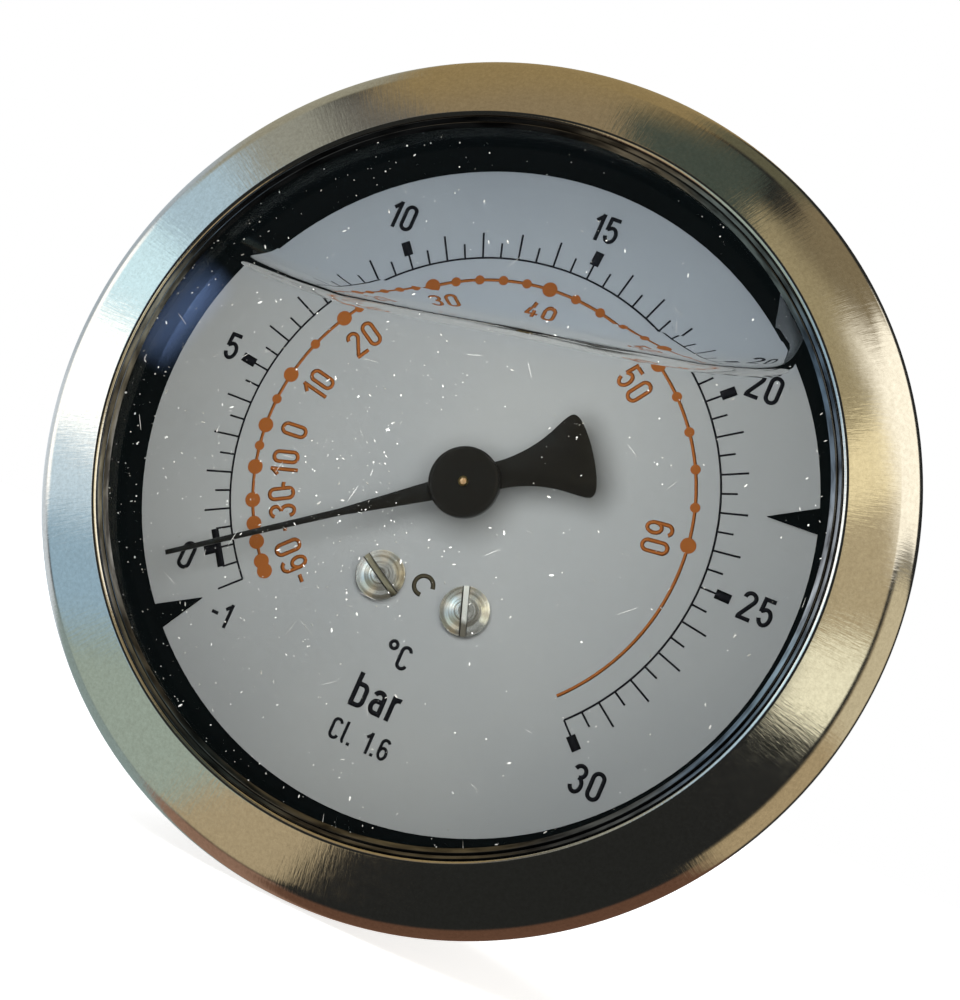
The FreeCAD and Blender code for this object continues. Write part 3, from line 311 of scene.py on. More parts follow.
def ringReflection(pictureAngle, slope):
    # The way in which the sloping ring, seen from the camera, looks at this angle, on the dial's plane
    c, s = compass(pictureAngle + cameraSizes["imageTurn"])
    outward = Vector((c, 0.0, s))
    place = outward * studioSizes["ringRadius"] + Vector((0.0, studioSizes["ringFront"], 0.0))
    c, s = compass(slope)
    normal = outward * s - Vector((0.0, c, 0.0))
    sight = (Vector(cameraSizes["location"]) - place).normalized()
    mirrored = 2 * normal.dot(sight) * normal - sight
    return Vector((mirrored.x, 0.0, mirrored.z)).normalized()


world = bpy.data.worlds.new("studio")
world.use_nodes = True
scene.world = world
tree = world.node_tree
tree.nodes.clear()
direction = addNode(tree, "ShaderNodeTexCoord").outputs["Generated"]
flat = addNode(tree, "ShaderNodeVectorMath", {"operation": "MULTIPLY"}, {
    0: direction, 1: (1.0, 0.0, 1.0)}).outputs[0]
flat = addNode(tree, "ShaderNodeVectorMath", {"operation": "NORMALIZE"}, {0: flat}).outputs[0]


def within(vector, way, width, softness):
    # 1 where vector lies within width degrees of way, fading over softness on both sides
    facing = addNode(tree, "ShaderNodeVectorMath", {"operation": "DOT_PRODUCT"}, {
        0: vector, 1: way}).outputs["Value"]
    return addNode(tree, "ShaderNodeMapRange", {"interpolation_type": "SMOOTHSTEP"}, {
        "Value": facing, "From Min": math.cos(math.radians(width + softness)),
        "From Max": math.cos(math.radians(max(width - softness, 0.0)))}).outputs["Result"]


def paintCard(under, around, nearest, farthest, depth, colour):
    # Lays a colour over what is under it, between two angles away from the gauge's axis
    covered = within(direction, (0.0, -1.0, 0.0), farthest, depth)
    if nearest:
        inner = within(direction, (0.0, -1.0, 0.0), nearest, depth)
        covered = addNode(tree, "ShaderNodeMath", {"operation": "SUBTRACT", "use_clamp": True}, {
            0: covered, 1: inner}).outputs[0]
    covered = addNode(tree, "ShaderNodeMath", {"operation": "MULTIPLY"}, {
        0: around, 1: covered}).outputs[0]
    return addNode(tree, "ShaderNodeMix", {"data_type": "RGBA"}, {
        0: covered, 6: under, 7: colour}).outputs[2]


roomColour = addNode(tree, "ShaderNodeRGB")
roomColour.outputs[0].default_value = hexColour(*studioSizes["room"])
shade = roomColour.outputs[0]
for start, end, softness, nearest, farthest, depth, colour, strength in studioSizes["cards"].values():
    slope = studioSizes["ringSlope" if nearest < studioSizes["shoulderFrom"] else "shoulderSlope"]
    ways = ringReflection(start, slope), ringReflection(end, slope)
    width = math.degrees(ways[0].angle(ways[1])) / 2
    middle = (ways[0] + ways[1]).normalized()
    around = within(flat, middle, width if softness else 180.0, softness / 2)
    shade = paintCard(shade, around, nearest, farthest, depth, hexColour(colour, strength))
for azimuth, width, softness, nearest, farthest, depth, colour, strength in studioSizes["panes"].values():
    c, s = compass(azimuth)
    around = within(flat, (c, 0.0, s), width, softness)
    shade = paintCard(shade, around, nearest, farthest, depth, hexColour(colour, strength))
behind = within(direction, (0.0, 1.0, 0.0), studioSizes["backdropSpread"], studioSizes["backdropSoftness"])
shade = addNode(tree, "ShaderNodeMix", {"data_type": "RGBA"}, {
    0: behind, 6: shade, 7: hexColour(*studioSizes["backdrop"])}).outputs[2]
rays = addNode(tree, "ShaderNodeLightPath").outputs
mirrored = addNode(tree, "ShaderNodeMath", {"operation": "MAXIMUM"}, {
    0: rays["Is Glossy Ray"], 1: rays["Is Transmission Ray"]}).outputs["Value"]
plain = addNode(tree, "ShaderNodeBackground", {}, {
    "Color": hexColour(studioSizes["plainLight"]), "Strength": studioSizes["level"]}).outputs[0]
studio = addNode(tree, "ShaderNodeBackground", {}, {"Color": shade}).outputs[0]
white = addNode(tree, "ShaderNodeBackground", {}, {"Color": (1.0, 1.0, 1.0, 1.0)}).outputs[0]
seen = addNode(tree, "ShaderNodeMixShader", {}, {0: mirrored, 1: plain, 2: studio}).outputs[0]
seen = addNode(tree, "ShaderNodeMixShader", {}, {0: rays["Is Camera Ray"], 1: seen, 2: white}).outputs[0]
addNode(tree, "ShaderNodeOutputWorld", {}, {"Surface": seen})

lampSizes = {
    "key": {"place": (1, -72, 4), "aim": (1, -36, 4), "size": 34, "watts": 0.021, "colour": "#FFFFFF"},
    "fill": {"place": (420, -300, 160), "aim": (0, -20, 0), "size": 400, "watts": 0.5, "colour": "#FFF6E8"},
    "rim": {"place": (-150, 420, 320), "aim": (0, 0, 0), "size": 300, "watts": 2.0, "colour": "#F4F8FF"},
}

for name, sizes in lampSizes.items():
    lamp = bpy.data.lights.new(name, "AREA")
    lamp.shape = "DISK"
    lamp.size = sizes["size"] * mm
    lamp.energy = sizes["watts"]
    lamp.color = hexColour(sizes["colour"])[:3]
    holder = addObject(name, lamp)
    holder.location = Vector(sizes["place"]) * mm
    aim = (Vector(sizes["aim"]) - Vector(sizes["place"])).to_track_quat("-Z", "Y")
    holder.rotation_mode = "QUATERNION"
    holder.rotation_quaternion = aim
    holder.visible_glossy = False
    holder.visible_transmission = False
    holder.visible_camera = False


# Floor: matt paper, pale and even. The camera sees it lifted to white, and its shadow stays.

floorSizes = {"size": 3.0, "height": -34.6, "colour": "#F3F3F1", "roughness": 0.9, "specular": 0.1,
              "lift": 0.75}

bm = bmesh.new()
bmesh.ops.create_grid(bm, x_segments=1, y_segments=1, size=floorSizes["size"] / 2)
bmesh.ops.translate(bm, vec=(0.0, 0.0, floorSizes["height"] * mm), verts=bm.verts)
floorMesh = bpy.data.meshes.new("floor")
bm.to_mesh(floorMesh)
bm.free()
floor = addObject("floor", floorMesh)
floor.visible_glossy = False
floor.visible_transmission = False
material, tree, shader = startMaterial("mattPaper")
rays = addNode(tree, "ShaderNodeLightPath").outputs
lift = addNode(tree, "ShaderNodeMath", {"operation": "MULTIPLY"}, {
    0: rays["Is Camera Ray"], 1: floorSizes["lift"]}).outputs["Value"]
connect(tree, shader, {
    "Base Color": hexColour(floorSizes["colour"]), "Roughness": floorSizes["roughness"],
    "Specular IOR Level": floorSizes["specular"],
    "Emission Color": (1.0, 1.0, 1.0, 1.0), "Emission Strength": lift})
floorMesh.materials.append(material)
print("studio lit")


# Bezel: stainless steel sheet, spun and polished, which gives soft mirror zones broken by fine radial
# streaks.

bezelFinish = {
    "tones": [(0.34, "#D2CEC6"), (0.66, "#E6E3DC")],
    "toneWidth": 0.3,
    "roughness": (0.075, 0.15),
    "wearWidth": 0.9,
    "lipRounding": 0.34,
    "outline": [(28.55, -45.5, "lip"), (34.5, -43.5, 2.6), (34.5, -37.2, 1.1), (31.3, -37.2, 0.1),
                (31.3, -37.7, 0), (34.0, -37.7, 0.6), (34.0, -43.0, 2.1), (28.55, -45.0, 0)],
    "middleRadius": 31.5,
    "streakWidth": 0.22,
    "streakLength": 1.6,
    "streakDepth": 0.006,
    "waveLength": 7.0,
    "waveDepth": 0.04,
}

b = bezelFinish
polishedStainless, tree, shader = startMaterial("polishedStainless")
streaks = addNode(tree, "ShaderNodeTexNoise", {}, {
    "Vector": ringVector(tree, (0, 0), b["middleRadius"] / b["streakWidth"], 1000 / b["streakLength"]),
    "Scale": 1.0, "Detail": 3.0, "Roughness": 0.6}).outputs["Fac"]
place = addNode(tree, "ShaderNodeTexCoord").outputs["Object"]
waves = addNode(tree, "ShaderNodeTexNoise", {}, {
    "Vector": place, "Scale": 1000 / b["waveLength"], "Detail": 1.0}).outputs["Fac"]
wear = addNode(tree, "ShaderNodeTexNoise", {}, {
    "Vector": place, "Scale": 1000 / b["wearWidth"], "Detail": 4.0, "Roughness": 0.7}).outputs["Fac"]
worn = addNode(tree, "ShaderNodeMapRange", {}, {
    "Value": wear, "From Min": 0.3, "From Max": 0.75,
    "To Min": b["roughness"][0], "To Max": b["roughness"][1]}).outputs["Result"]
mottle = addNode(tree, "ShaderNodeTexNoise", {}, {
    "Vector": place, "Scale": 1000 / b["toneWidth"], "Detail": 5.0, "Roughness": 0.75}).outputs["Fac"]
tone = addNode(tree, "ShaderNodeValToRGB", {"stops": b["tones"]}, {"Fac": mottle}).outputs["Color"]
wavy = addNode(tree, "ShaderNodeBump", {}, {
    "Height": waves, "Strength": 1.0, "Distance": b["waveDepth"] * mm}).outputs["Normal"]
streaky = addNode(tree, "ShaderNodeBump", {}, {
    "Height": streaks, "Strength": 1.0, "Distance": b["streakDepth"] * mm, "Normal": wavy}).outputs["Normal"]
connect(tree, shader, {"Base Color": tone, "Metallic": 1.0, "Roughness": worn, "Normal": streaky})
corners = [(r, y, b["lipRounding"] if rounding == "lip" else rounding) for r, y, rounding in b["outline"]]
spunBezel = spinPiece("spunBezel", corners, "housing", polishedStainless)
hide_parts("bezel_ring")


# Case: deep-drawn stainless steel with a satin brushed skin, which gives a soft sheen with fine lines round
# the axis.

caseFinish = {"tones": [(0.3, "#B9B6AE"), (0.7, "#CDCAC3")], "grain": 0.12, "around": 4.0, "detail": 4.0,
              "fineness": 0.65, "depth": 0.004, "roughness": (0.26, 0.42), "metallic": 1.0}

coat(["case"], grainedMaterial("satinStainless", caseFinish))


# Clear materials: colour, refraction and the tint of what they mirror.

clearFinishes = {
    # moulded acrylic window, clear and polished: a faint mirror image of the room
    "clearAcrylic": ("#FDFEFE", 1.49, "#FFFFFF"),
    # glycerine, water clear and wet against the window: only its bubble shows
    "clearGlycerine": ("#FBFDFD", 1.47, "#101010"),
    # the glycerine's skin towards the bubble: it mirrors as a free surface does
    "bubbleSkin": ("#F8FBFF", 1.47, "#FFFFFF"),
}


def clearMaterial(name, colour, refraction, tint):
    # Refracts for the eye; a lamp's shadow ray goes straight through, so the dial behind it is lit
    material, tree, shader = startMaterial(name)
    connect(tree, shader, {
        "Base Color": hexColour(colour), "Roughness": 0.0, "IOR": refraction, "Transmission Weight": 1.0,
        "Specular Tint": hexColour(tint)})
    rays = addNode(tree, "ShaderNodeLightPath").outputs
    straight = addNode(tree, "ShaderNodeBsdfTransparent", {}, {"Color": hexColour(colour)}).outputs[0]
    mixed = addNode(tree, "ShaderNodeMixShader", {}, {
        0: rays["Is Shadow Ray"], 1: shader.outputs[0], 2: straight}).outputs[0]
    connect(tree, tree.nodes["Material Output"], {"Surface": mixed})
    return material


clears = {name: clearMaterial(name, *finish) for name, finish in clearFinishes.items()}
coat(["window"], clears["clearAcrylic"])


# Dial: aluminium sheet with fired white enamel, which gives an even, slightly cool matt white.

dialFinish = {"tones": [(0.3, "#B4B5B6"), (0.7, "#BEBEBD")], "cloudWidth": 22.0, "speckleWidth": 0.25,
              "speckleDepth": 0.002, "roughness": 0.45, "specular": 0.35}

dialEnamel, tree, shader = startMaterial("whiteEnamel")
place = addNode(tree, "ShaderNodeTexCoord").outputs["Object"]
clouds = addNode(tree, "ShaderNodeTexNoise", {}, {
    "Vector": place, "Scale": 1000 / dialFinish["cloudWidth"], "Detail": 2.0}).outputs["Fac"]
tone = addNode(tree, "ShaderNodeValToRGB", {"stops": dialFinish["tones"]}, {"Fac": clouds}).outputs["Color"]
speckle = addNode(tree, "ShaderNodeTexNoise", {}, {
    "Vector": place, "Scale": 1000 / dialFinish["speckleWidth"], "Detail": 2.0}).outputs["Fac"]
skin = addNode(tree, "ShaderNodeBump", {}, {
    "Height": speckle, "Strength": 1.0, "Distance": dialFinish["speckleDepth"] * mm}).outputs["Normal"]
connect(tree, shader, {
    "Base Color": tone, "Roughness": dialFinish["roughness"], "Specular IOR Level": dialFinish["specular"],
    "Normal": skin})
coat(["dial"], dialEnamel)


# Inner ring: black moulded plastic, wet with liquid and so without a sheen of its own, a faint ripple in it.

ringFinish = {"colour": "#0A0F10", "grain": 0.7, "around": 6.0, "depth": 0.003, "roughness": (0.3, 0.3),
              "specular": 0.0}

coat(["dial_ring"], grainedMaterial("blackMouldedPlastic", ringFinish))


# Seals: nitrile rubber, matt and slightly brown with grains of talc.

rubberFinish = {"tones": [(0.35, "#1A1613"), (0.8, "#2B2520")], "grain": 0.3, "detail": 4.0, "depth": 0.01,
                "roughness": (0.62, 0.62)}

coat(["window_gasket", "stem_seal", "fill_plug"], grainedMaterial("nitrileRubber", rubberFinish))


# Rim bead: a black nickel-plated spring ring that holds the window's edge, two dark glossy ridges.

beadOutline = [(28.56, -44.96, 0), (28.52, -45.24, 0.02), (28.44, -45.24, 0.03), (28.12, -44.99, 0.02),
               (28.08, -45.19, 0.02), (28.02, -45.2, 0.03), (27.7, -44.96, 0)]
beadFinish = {"tones": [(0.35, "#3E3E40"), (0.7, "#8C8E92")], "grain": 0.12, "around": 10.0, "detail": 3.0,
              "depth": 0.006, "roughness": (0.16, 0.16), "metallic": 1.0}

blackNickel = grainedMaterial("blackNickelPlate", beadFinish)
spinPiece("rimBead", beadOutline, "housing", blackNickel, rounds=3)


# Pointer and hub: aluminium, sprayed satin black, which gives a soft, even sheen.

lacquerFinish = {"colour": "#151310", "grain": 0.35, "depth": 0.004, "roughness": (0.4, 0.4)}

blackLacquer = grainedMaterial("satinBlackLacquer", lacquerFinish)
coat(["pointer", "pointer_hub"], blackLacquer)


# Pointer's shape: the fan's flanks are a little fuller than the solid's, and the stamped edge is rounded.

fanSizes = {"angle": 215.4, "start": 3.2, "full": 8.0, "broader": 0.13, "edge": 0.05,
            "cornerStart": 7.6, "cornerAcross": 2.2, "cornerRounds": 8}

bm = copyNode("pointer")
c, s = compass(fanSizes["angle"])
for v in bm.verts:
    behind = -(v.co.x * c + v.co.z * s) / mm
    across = v.co.z * c - v.co.x * s
    share = clamp((behind - fanSizes["start"]) / (fanSizes["full"] - fanSizes["start"]))
    v.co.x -= s * across * fanSizes["broader"] * share
    v.co.z += c * across * fanSizes["broader"] * share
bmesh.ops.dissolve_limit(bm, angle_limit=math.radians(1), verts=bm.verts, edges=bm.edges)
corners = [v for v in bm.verts if -(v.co.x * c + v.co.z * s) > fanSizes["cornerStart"] * mm
           and abs(v.co.z * c - v.co.x * s) > fanSizes["cornerAcross"] * mm]
for i in range(fanSizes["cornerRounds"]):
    bmesh.ops.smooth_vert(bm, verts=corners, factor=0.5, use_axis_x=True, use_axis_y=False, use_axis_z=True)
rims = [e for e in bm.edges if e.is_manifold and e.calc_face_angle() > math.radians(80)
        and abs(e.verts[0].co.y - e.verts[1].co.y) < 1e-6]
bmesh.ops.bevel(bm, geom=rims, offset=fanSizes["edge"] * mm, offset_type="OFFSET", affect="EDGES",
                segments=2, profile=0.5, material=-1, clamp_overlap=True)
bmesh.ops.recalc_face_normals(bm, faces=bm.faces)
stampedPointer = finishPiece("stampedPointer", bm, "pointer", blackLacquer, smooth=30)
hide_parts("pointer")


# Movement, socket and small screws.

brassTones = [(0.3, "#B99A5A"), (0.7, "#D8BC7C")]
metalFinishes = {
    # turned brass: warm yellow with fine closed lines, as a lathe leaves them
    "turnedBrass": {"tones": brassTones, "grain": 0.12, "around": 0.8, "depth": 0.004,
                    "roughness": (0.196, 0.364)},
    # rolled brass sheet: the same yellow, a little duller, with straight lines
    "rolledBrass": {"tones": brassTones, "grain": 0.2, "stretch": (0.12, 1.0, 1.0), "depth": 0.004,
                    "roughness": (0.224, 0.416)},
    # drawn phosphor bronze: redder, with lines along the strip
    "drawnBronze": {"tones": [(0.3, "#A9794C"), (0.7, "#C59566")], "grain": 0.3, "stretch": (1.0, 0.2, 1.0),
                    "depth": 0.004, "roughness": (0.21, 0.39)},
    # nickel-plated steel: pale grey and smooth
    "nickelPlatedSteel": {"tones": [(0.3, "#BDBCB8"), (0.7, "#D0CFCB")], "grain": 0.25,
                          "stretch": (1.0, 0.3, 1.0), "depth": 0.003, "roughness": (0.175, 0.325)},
}

metals = {name: grainedMaterial(name, {"detail": 3.0, "metallic": 1.0, **finish})
          for name, finish in metalFinishes.items()}
coat(["pinion_arbor", "sector_arbor", "dial_posts", "plate_pillars", "hairspring_collet", "hairspring_stud",
      "restrictor", "tube_tip", "socket"], metals["turnedBrass"])
coat(["front_plate", "rear_plate", "sector_gear", "link"], metals["rolledBrass"])
coat(["bourdon_tube", "hairspring"], metals["drawnBronze"])
coat(["plate_screws", "movement_screws", "case_screws", "link_pin", "tip_pin"], metals["nickelPlatedSteel"])


# Dial screws: nickel-plated steel heads with the rings of their turning, which break up a soft mirror image.
# The cutter leaves the slots' floors matt. Their tone is painted light, pale on the right screw and darker
# on the left, with a painted shadow over their lower ends and painted shade along their edges.

screwFinish = {
    "slots": ((-3.7, -9.1, -30.5), (3.7, -9.1, 109.3)),
    "tones": [(0.36, "#ABA292"), (0.6, "#FFFEF8")],
    "ringWidth": 0.2,
    "ringsRound": 0.25,
    "ringDepth": 0.012,
    # on a head and on a slot's floor
    "metallic": (0.8, 0.3),
    "roughness": (0.17, 0.45),
    # painted light on the slots' floors, darker on the left screw and pale on the right
    "floorPaintedLightTones": [(0.0, "#9A937C"), (1.0, "#FFFDF4")],
    # distances from a slot's middle line, where its floor ends and where painted shade lies along its edge
    "floor": 0.2,
    "edge": (0.24, 0.28),
    "outside": 0.32,
    # painted shade along the slots' edges
    "edgePaintedShadeTone": "#3C342B",
    # heights between which a slot's floor falls into shadow
    "shadow": (-9.7, -10.1),
    "shadowTone": "#77726A",
}

f = screwFinish
turnedPlate, tree, shader = startMaterial("turnedPlatedSteel")
place = addNode(tree, "ShaderNodeTexCoord").outputs["Object"]
sides = addNode(tree, "ShaderNodeSeparateXYZ", {}, {0: place}).outputs
cells = 1000 / f["ringWidth"]
rings = addNode(tree, "ShaderNodeTexNoise", {}, {
    "Vector": ringVector(tree, (f["slots"][1][0], -f["slots"][1][1]), f["ringsRound"], cells, cells, True),
    "Scale": 1.0, "Detail": 1.5}).outputs["Fac"]
tone = addNode(tree, "ShaderNodeValToRGB", {"stops": f["tones"]}, {"Fac": rings}).outputs["Color"]
skin = addNode(tree, "ShaderNodeBump", {}, {
    "Height": rings, "Strength": 1.0, "Distance": f["ringDepth"] * mm}).outputs["Normal"]
distances = []
for x, z, angle in f["slots"]:
    c, s = compass(angle)
    across = addNode(tree, "ShaderNodeVectorMath", {"operation": "DOT_PRODUCT"}, {
        0: place, 1: (-s / mm, 0.0, c / mm)}).outputs["Value"]
    across = addNode(tree, "ShaderNodeMath", {"operation": "SUBTRACT"}, {
        0: across, 1: z * c - x * s}).outputs[0]
    distances.append(addNode(tree, "ShaderNodeMath", {"operation": "ABSOLUTE"}, {0: across}).outputs[0])
nearest = addNode(tree, "ShaderNodeMath", {"operation": "MINIMUM"}, {
    0: distances[0], 1: distances[1]}).outputs[0]
inSlot = addNode(tree, "ShaderNodeMapRange", {}, {
    "Value": nearest, "From Min": f["floor"], "From Max": f["edge"][0],
    "To Min": 1.0, "To Max": 0.0}).outputs["Result"]
# the right screw's slot floor takes the pale painted light, the left one the darker
right = addNode(tree, "ShaderNodeMath", {"operation": "GREATER_THAN"}, {0: sides["X"], 1: 0.0}).outputs[0]
floorPaintedLight = addNode(tree, "ShaderNodeValToRGB", {"stops": f["floorPaintedLightTones"]}, {"Fac": right}).outputs["Color"]
shadow = addNode(tree, "ShaderNodeMapRange", {}, {
    "Value": sides["Z"], "From Min": f["shadow"][0] * mm, "From Max": f["shadow"][1] * mm}).outputs["Result"]
floorPaintedLight = addNode(tree, "ShaderNodeMix", {"data_type": "RGBA", "blend_type": "MULTIPLY"}, {
    0: shadow, 6: floorPaintedLight, 7: hexColour(f["shadowTone"])}).outputs[2]
tone = addNode(tree, "ShaderNodeMix", {"data_type": "RGBA"}, {0: inSlot, 6: tone, 7: floorPaintedLight}).outputs[2]
# painted shade along the slots' edges, darkest between the two edge distances
edgePaintedShade = addNode(tree, "ShaderNodeValToRGB", {"stops": [
    (f["floor"], "#FFFFFF"), (f["edge"][0], f["edgePaintedShadeTone"]), (f["edge"][1], f["edgePaintedShadeTone"]),
    (f["outside"], "#FFFFFF")]}, {"Fac": nearest}).outputs["Color"]
tone = addNode(tree, "ShaderNodeMix", {"data_type": "RGBA", "blend_type": "MULTIPLY"}, {
    0: 1.0, 6: tone, 7: edgePaintedShade}).outputs[2]
metallic, rough = [addNode(tree, "ShaderNodeMapRange", {}, {
    "Value": inSlot, "To Min": f[key][0], "To Max": f[key][1]}).outputs["Result"]
    for key in ("metallic", "roughness")]
connect(tree, shader, {"Base Color": tone, "Metallic": metallic, "Roughness": rough, "Normal": skin})
coat(["dial_screws"], turnedPlate)
print("nodes dressed")


# Tube: held by the socket, a copy of the solid in place of it.

tubeSizes = {"endAngle": 30.0, "radius": 20.5, "bendStart": -0.3, "bendEnd": 0.93}

bm = copyNode("bourdon_tube")
bendingTube = finishPiece("bendingTube", bm, None, metals["drawnBronze"], smooth=30)
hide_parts("bourdon_tube")
c, s = compass(tubeSizes["endAngle"])
reach = Vector((c, 0.0, s)) * tubeSizes["radius"] * mm
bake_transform(bendingTube)


# Arbor's end: a small burnished brass dome in the middle of the hub, bright and smooth.

tipSizes = {"middle": -40.28, "radius": 0.27, "height": 0.1}
tipFinish = {"tones": [(0.3, "#E0A872"), (0.7, "#F6D2A4")], "grain": 0.08, "around": 0.8, "detail": 3.0,
             "depth": 0.002, "roughness": (0.21, 0.39), "metallic": 0.7}

bm = bmesh.new()
flatter = Matrix.Diagonal((1.0, tipSizes["height"] / tipSizes["radius"], 1.0, 1.0))
place = Matrix.Translation((0.0, tipSizes["middle"] * mm, 0.0)) @ flatter
bmesh.ops.create_uvsphere(bm, u_segments=32, v_segments=12, radius=tipSizes["radius"] * mm,
                          matrix=place @ Matrix.Rotation(math.radians(90), 4, "X"))
finishPiece("arborTip", bm, "pointer", grainedMaterial("burnishedBrass", tipFinish))


# Dial print: screen ink, flat in colour with a slightly uneven, dull skin, a hair proud of the enamel.

printSizes = {
    "front": -35.972,
    "thickness": 0.02,
    "startAngle": 224.45,
    "startPressure": -1,
    "endPressure": 30,
    "sweep": 268.5,
    "arcRadius": 19.7,
    "lineWidth": 0.16,
    "halfTick": 20.98,
    "fullTick": 21.87,
    "blockInner": 20.98,
    "blockOuter": 22.2,
    "blockWidth": 0.75,
    "zeroBarRadius": 21.04,
    "zeroBarLength": 3.15,
    "zeroBarWidth": 0.6,
    "numbers": {0: (-19.22, -13.85), 5: (-23.19, 3.32), 10: (-15.16, 19.21), 15: (1.21, 24.13),
                20: (18.33, 16.06), 25: (24.32, -0.2), 30: (17.62, -17.32)},
    "numberHeight": 2.35,
    # height and the middle's place
    "words": {"-1": (2.0, -14.53, -16.99), "°C": (2.0, 0.2, -14.35), "bar": (2.75, 0.1, -18.0),
              "Cl. 1.6": (1.75, 0.1, -21.45)},
    "strokeShare": 0.14,
    "letterGap": 0.27,
    "blockOverlap": 0.1,
}
inkFinish = {"grain": 0.4, "roughness": (0.45, 0.65), "specular": 0.3}
# the last colour is painted shade for the small ring cut into the dial
inkColours = {"blackScreenInk": "#16161A", "orangeScreenInk": "#A9622F", "paintedCutShade": "#4A4436"}
orangeSizes = {
    "lineRadius": 17.8,
    "lineWidth": 0.26,
    "lineEnd": -43.5,
    "tenDot": 1.25,
    "smallDot": 0.8,
    "dotRise": 0.004,
    "numberRadius": 15.35,
    "numberHeight": 2.3,
    # temperature in degrees and its angle on the dial
    "angles": {-60: 224.6, -50: 221.9, -40: 216.5, -30: 211.7, -20: 205.4, -10: 196.6, 0: 185.2, 10: 170.3,
               20: 149.8, 30: 125.2, 40: 93.3, 50: 56.0, 60: 7.5},
    "numbers": {-60: 225.4, -30: 208.8, -10: 196.8, 0: 184.2, 10: 168.5, 20: 148.7, 30: 124.0, 40: 93.3,
                50: 55.0, 60: 7.5},
}
# a small open ring below the dial's middle, laid flat on the enamel as a thin dark film: painted shade
# standing in for a ring cut into the dial
markSizes = {"middle": (-0.2, -8.53), "radius": 0.77, "start": 0.3, "end": 273.3, "width": 0.36}

inks = {name: grainedMaterial(name, {"colour": colour, **inkFinish}) for name, colour in inkColours.items()}


def arc(x, z, radiusX, radiusZ, start, end, steps=14):
    turns = [compass(start + (end - start) * i / steps) for i in range(steps + 1)]
    return [(x + radiusX * c, z + radiusZ * s) for c, s in turns]


# Centre lines of narrow technical figures, w wide and h high, which is 1 with the stroke
w, h = 0.36, 0.86
glyphs = {
    "0": (w, [arc(w / 2, h - w / 2, w / 2, w / 2, 0, 180) + arc(w / 2, w / 2, w / 2, w / 2, 180, 360)
              + [(w, h - w / 2)]]),
    "1": (0.2, [[(0.0, 0.64), (0.2, 0.86)], [(0.2, 0.93), (0.2, -0.07)]]),
    "2": (w, [arc(w / 2, h - w / 2, w / 2, w / 2, 180, -32) + [(0.0, 0.05)],
              [(-0.07, 0.0), (w + 0.04, 0.0)]]),
    "3": (w, [arc(w / 2, h - 0.19, w / 2, 0.19, 165, -90), arc(w / 2, 0.24, w / 2, 0.24, 90, -165)]),
    "4": (w, [[(0.22, h + 0.05), (0.0, 0.2)], [(-0.06, 0.2), (w + 0.06, 0.2)],
              [(0.26, 0.45), (0.26, -0.07)]]),
    "5": (w, [[(w, h), (0.0, h)], [(0.02, h + 0.06), (0.0, 0.42)],
              [(0.0, 0.44)] + arc(w / 2, 0.28, w / 2, 0.26, 125, -165)]),
    "6": (w, [arc(w / 2, h - w / 2, w / 2, w / 2, 25, 180) + [(0.0, 0.25)],
              arc(w / 2, 0.25, w / 2, 0.25, 0, 360)]),
    "-": (0.22, [[(-0.04, 0.38), (0.24, 0.38)]]),
    ".": (0.0, [[(-0.075, 0.0), (0.075, 0.0)]]),
    " ": (0.16, []),
    "C": (w, [arc(w / 2, h - w / 2, w / 2, w / 2, 8, 180) + arc(w / 2, w / 2, w / 2, w / 2, 180, 352)]),
    "l": (0.06, [[(0.0, h + 0.07), (0.0, 0.08), (0.03, 0.0), (0.1, 0.0)]]),
    "b": (0.32, [[(0.0, h + 0.07), (0.0, -0.07)],
                 [(0.0, 0.0)] + arc(0.18, 0.16, 0.14, 0.16, -90, 0)
                 + arc(0.18, 0.44, 0.14, 0.16, 0, 90) + [(0.0, 0.6)]]),
    "a": (0.3, [[(0.3, -0.07), (0.3, 0.45)] + arc(0.15, 0.45, 0.15, 0.15, 0, 165),
                [(0.3, 0.34)] + arc(0.13, 0.17, 0.13, 0.17, 90, 270) + [(0.3, 0.0)]]),
    "r": (0.22, [[(0.0, -0.07), (0.0, 0.67)], [(0.0, 0.44)] + arc(0.17, 0.44, 0.17, 0.16, 180, 75)]),
    "°": (0.26, [arc(0.13, 0.76, 0.15, 0.15, 0, 360)]),
}


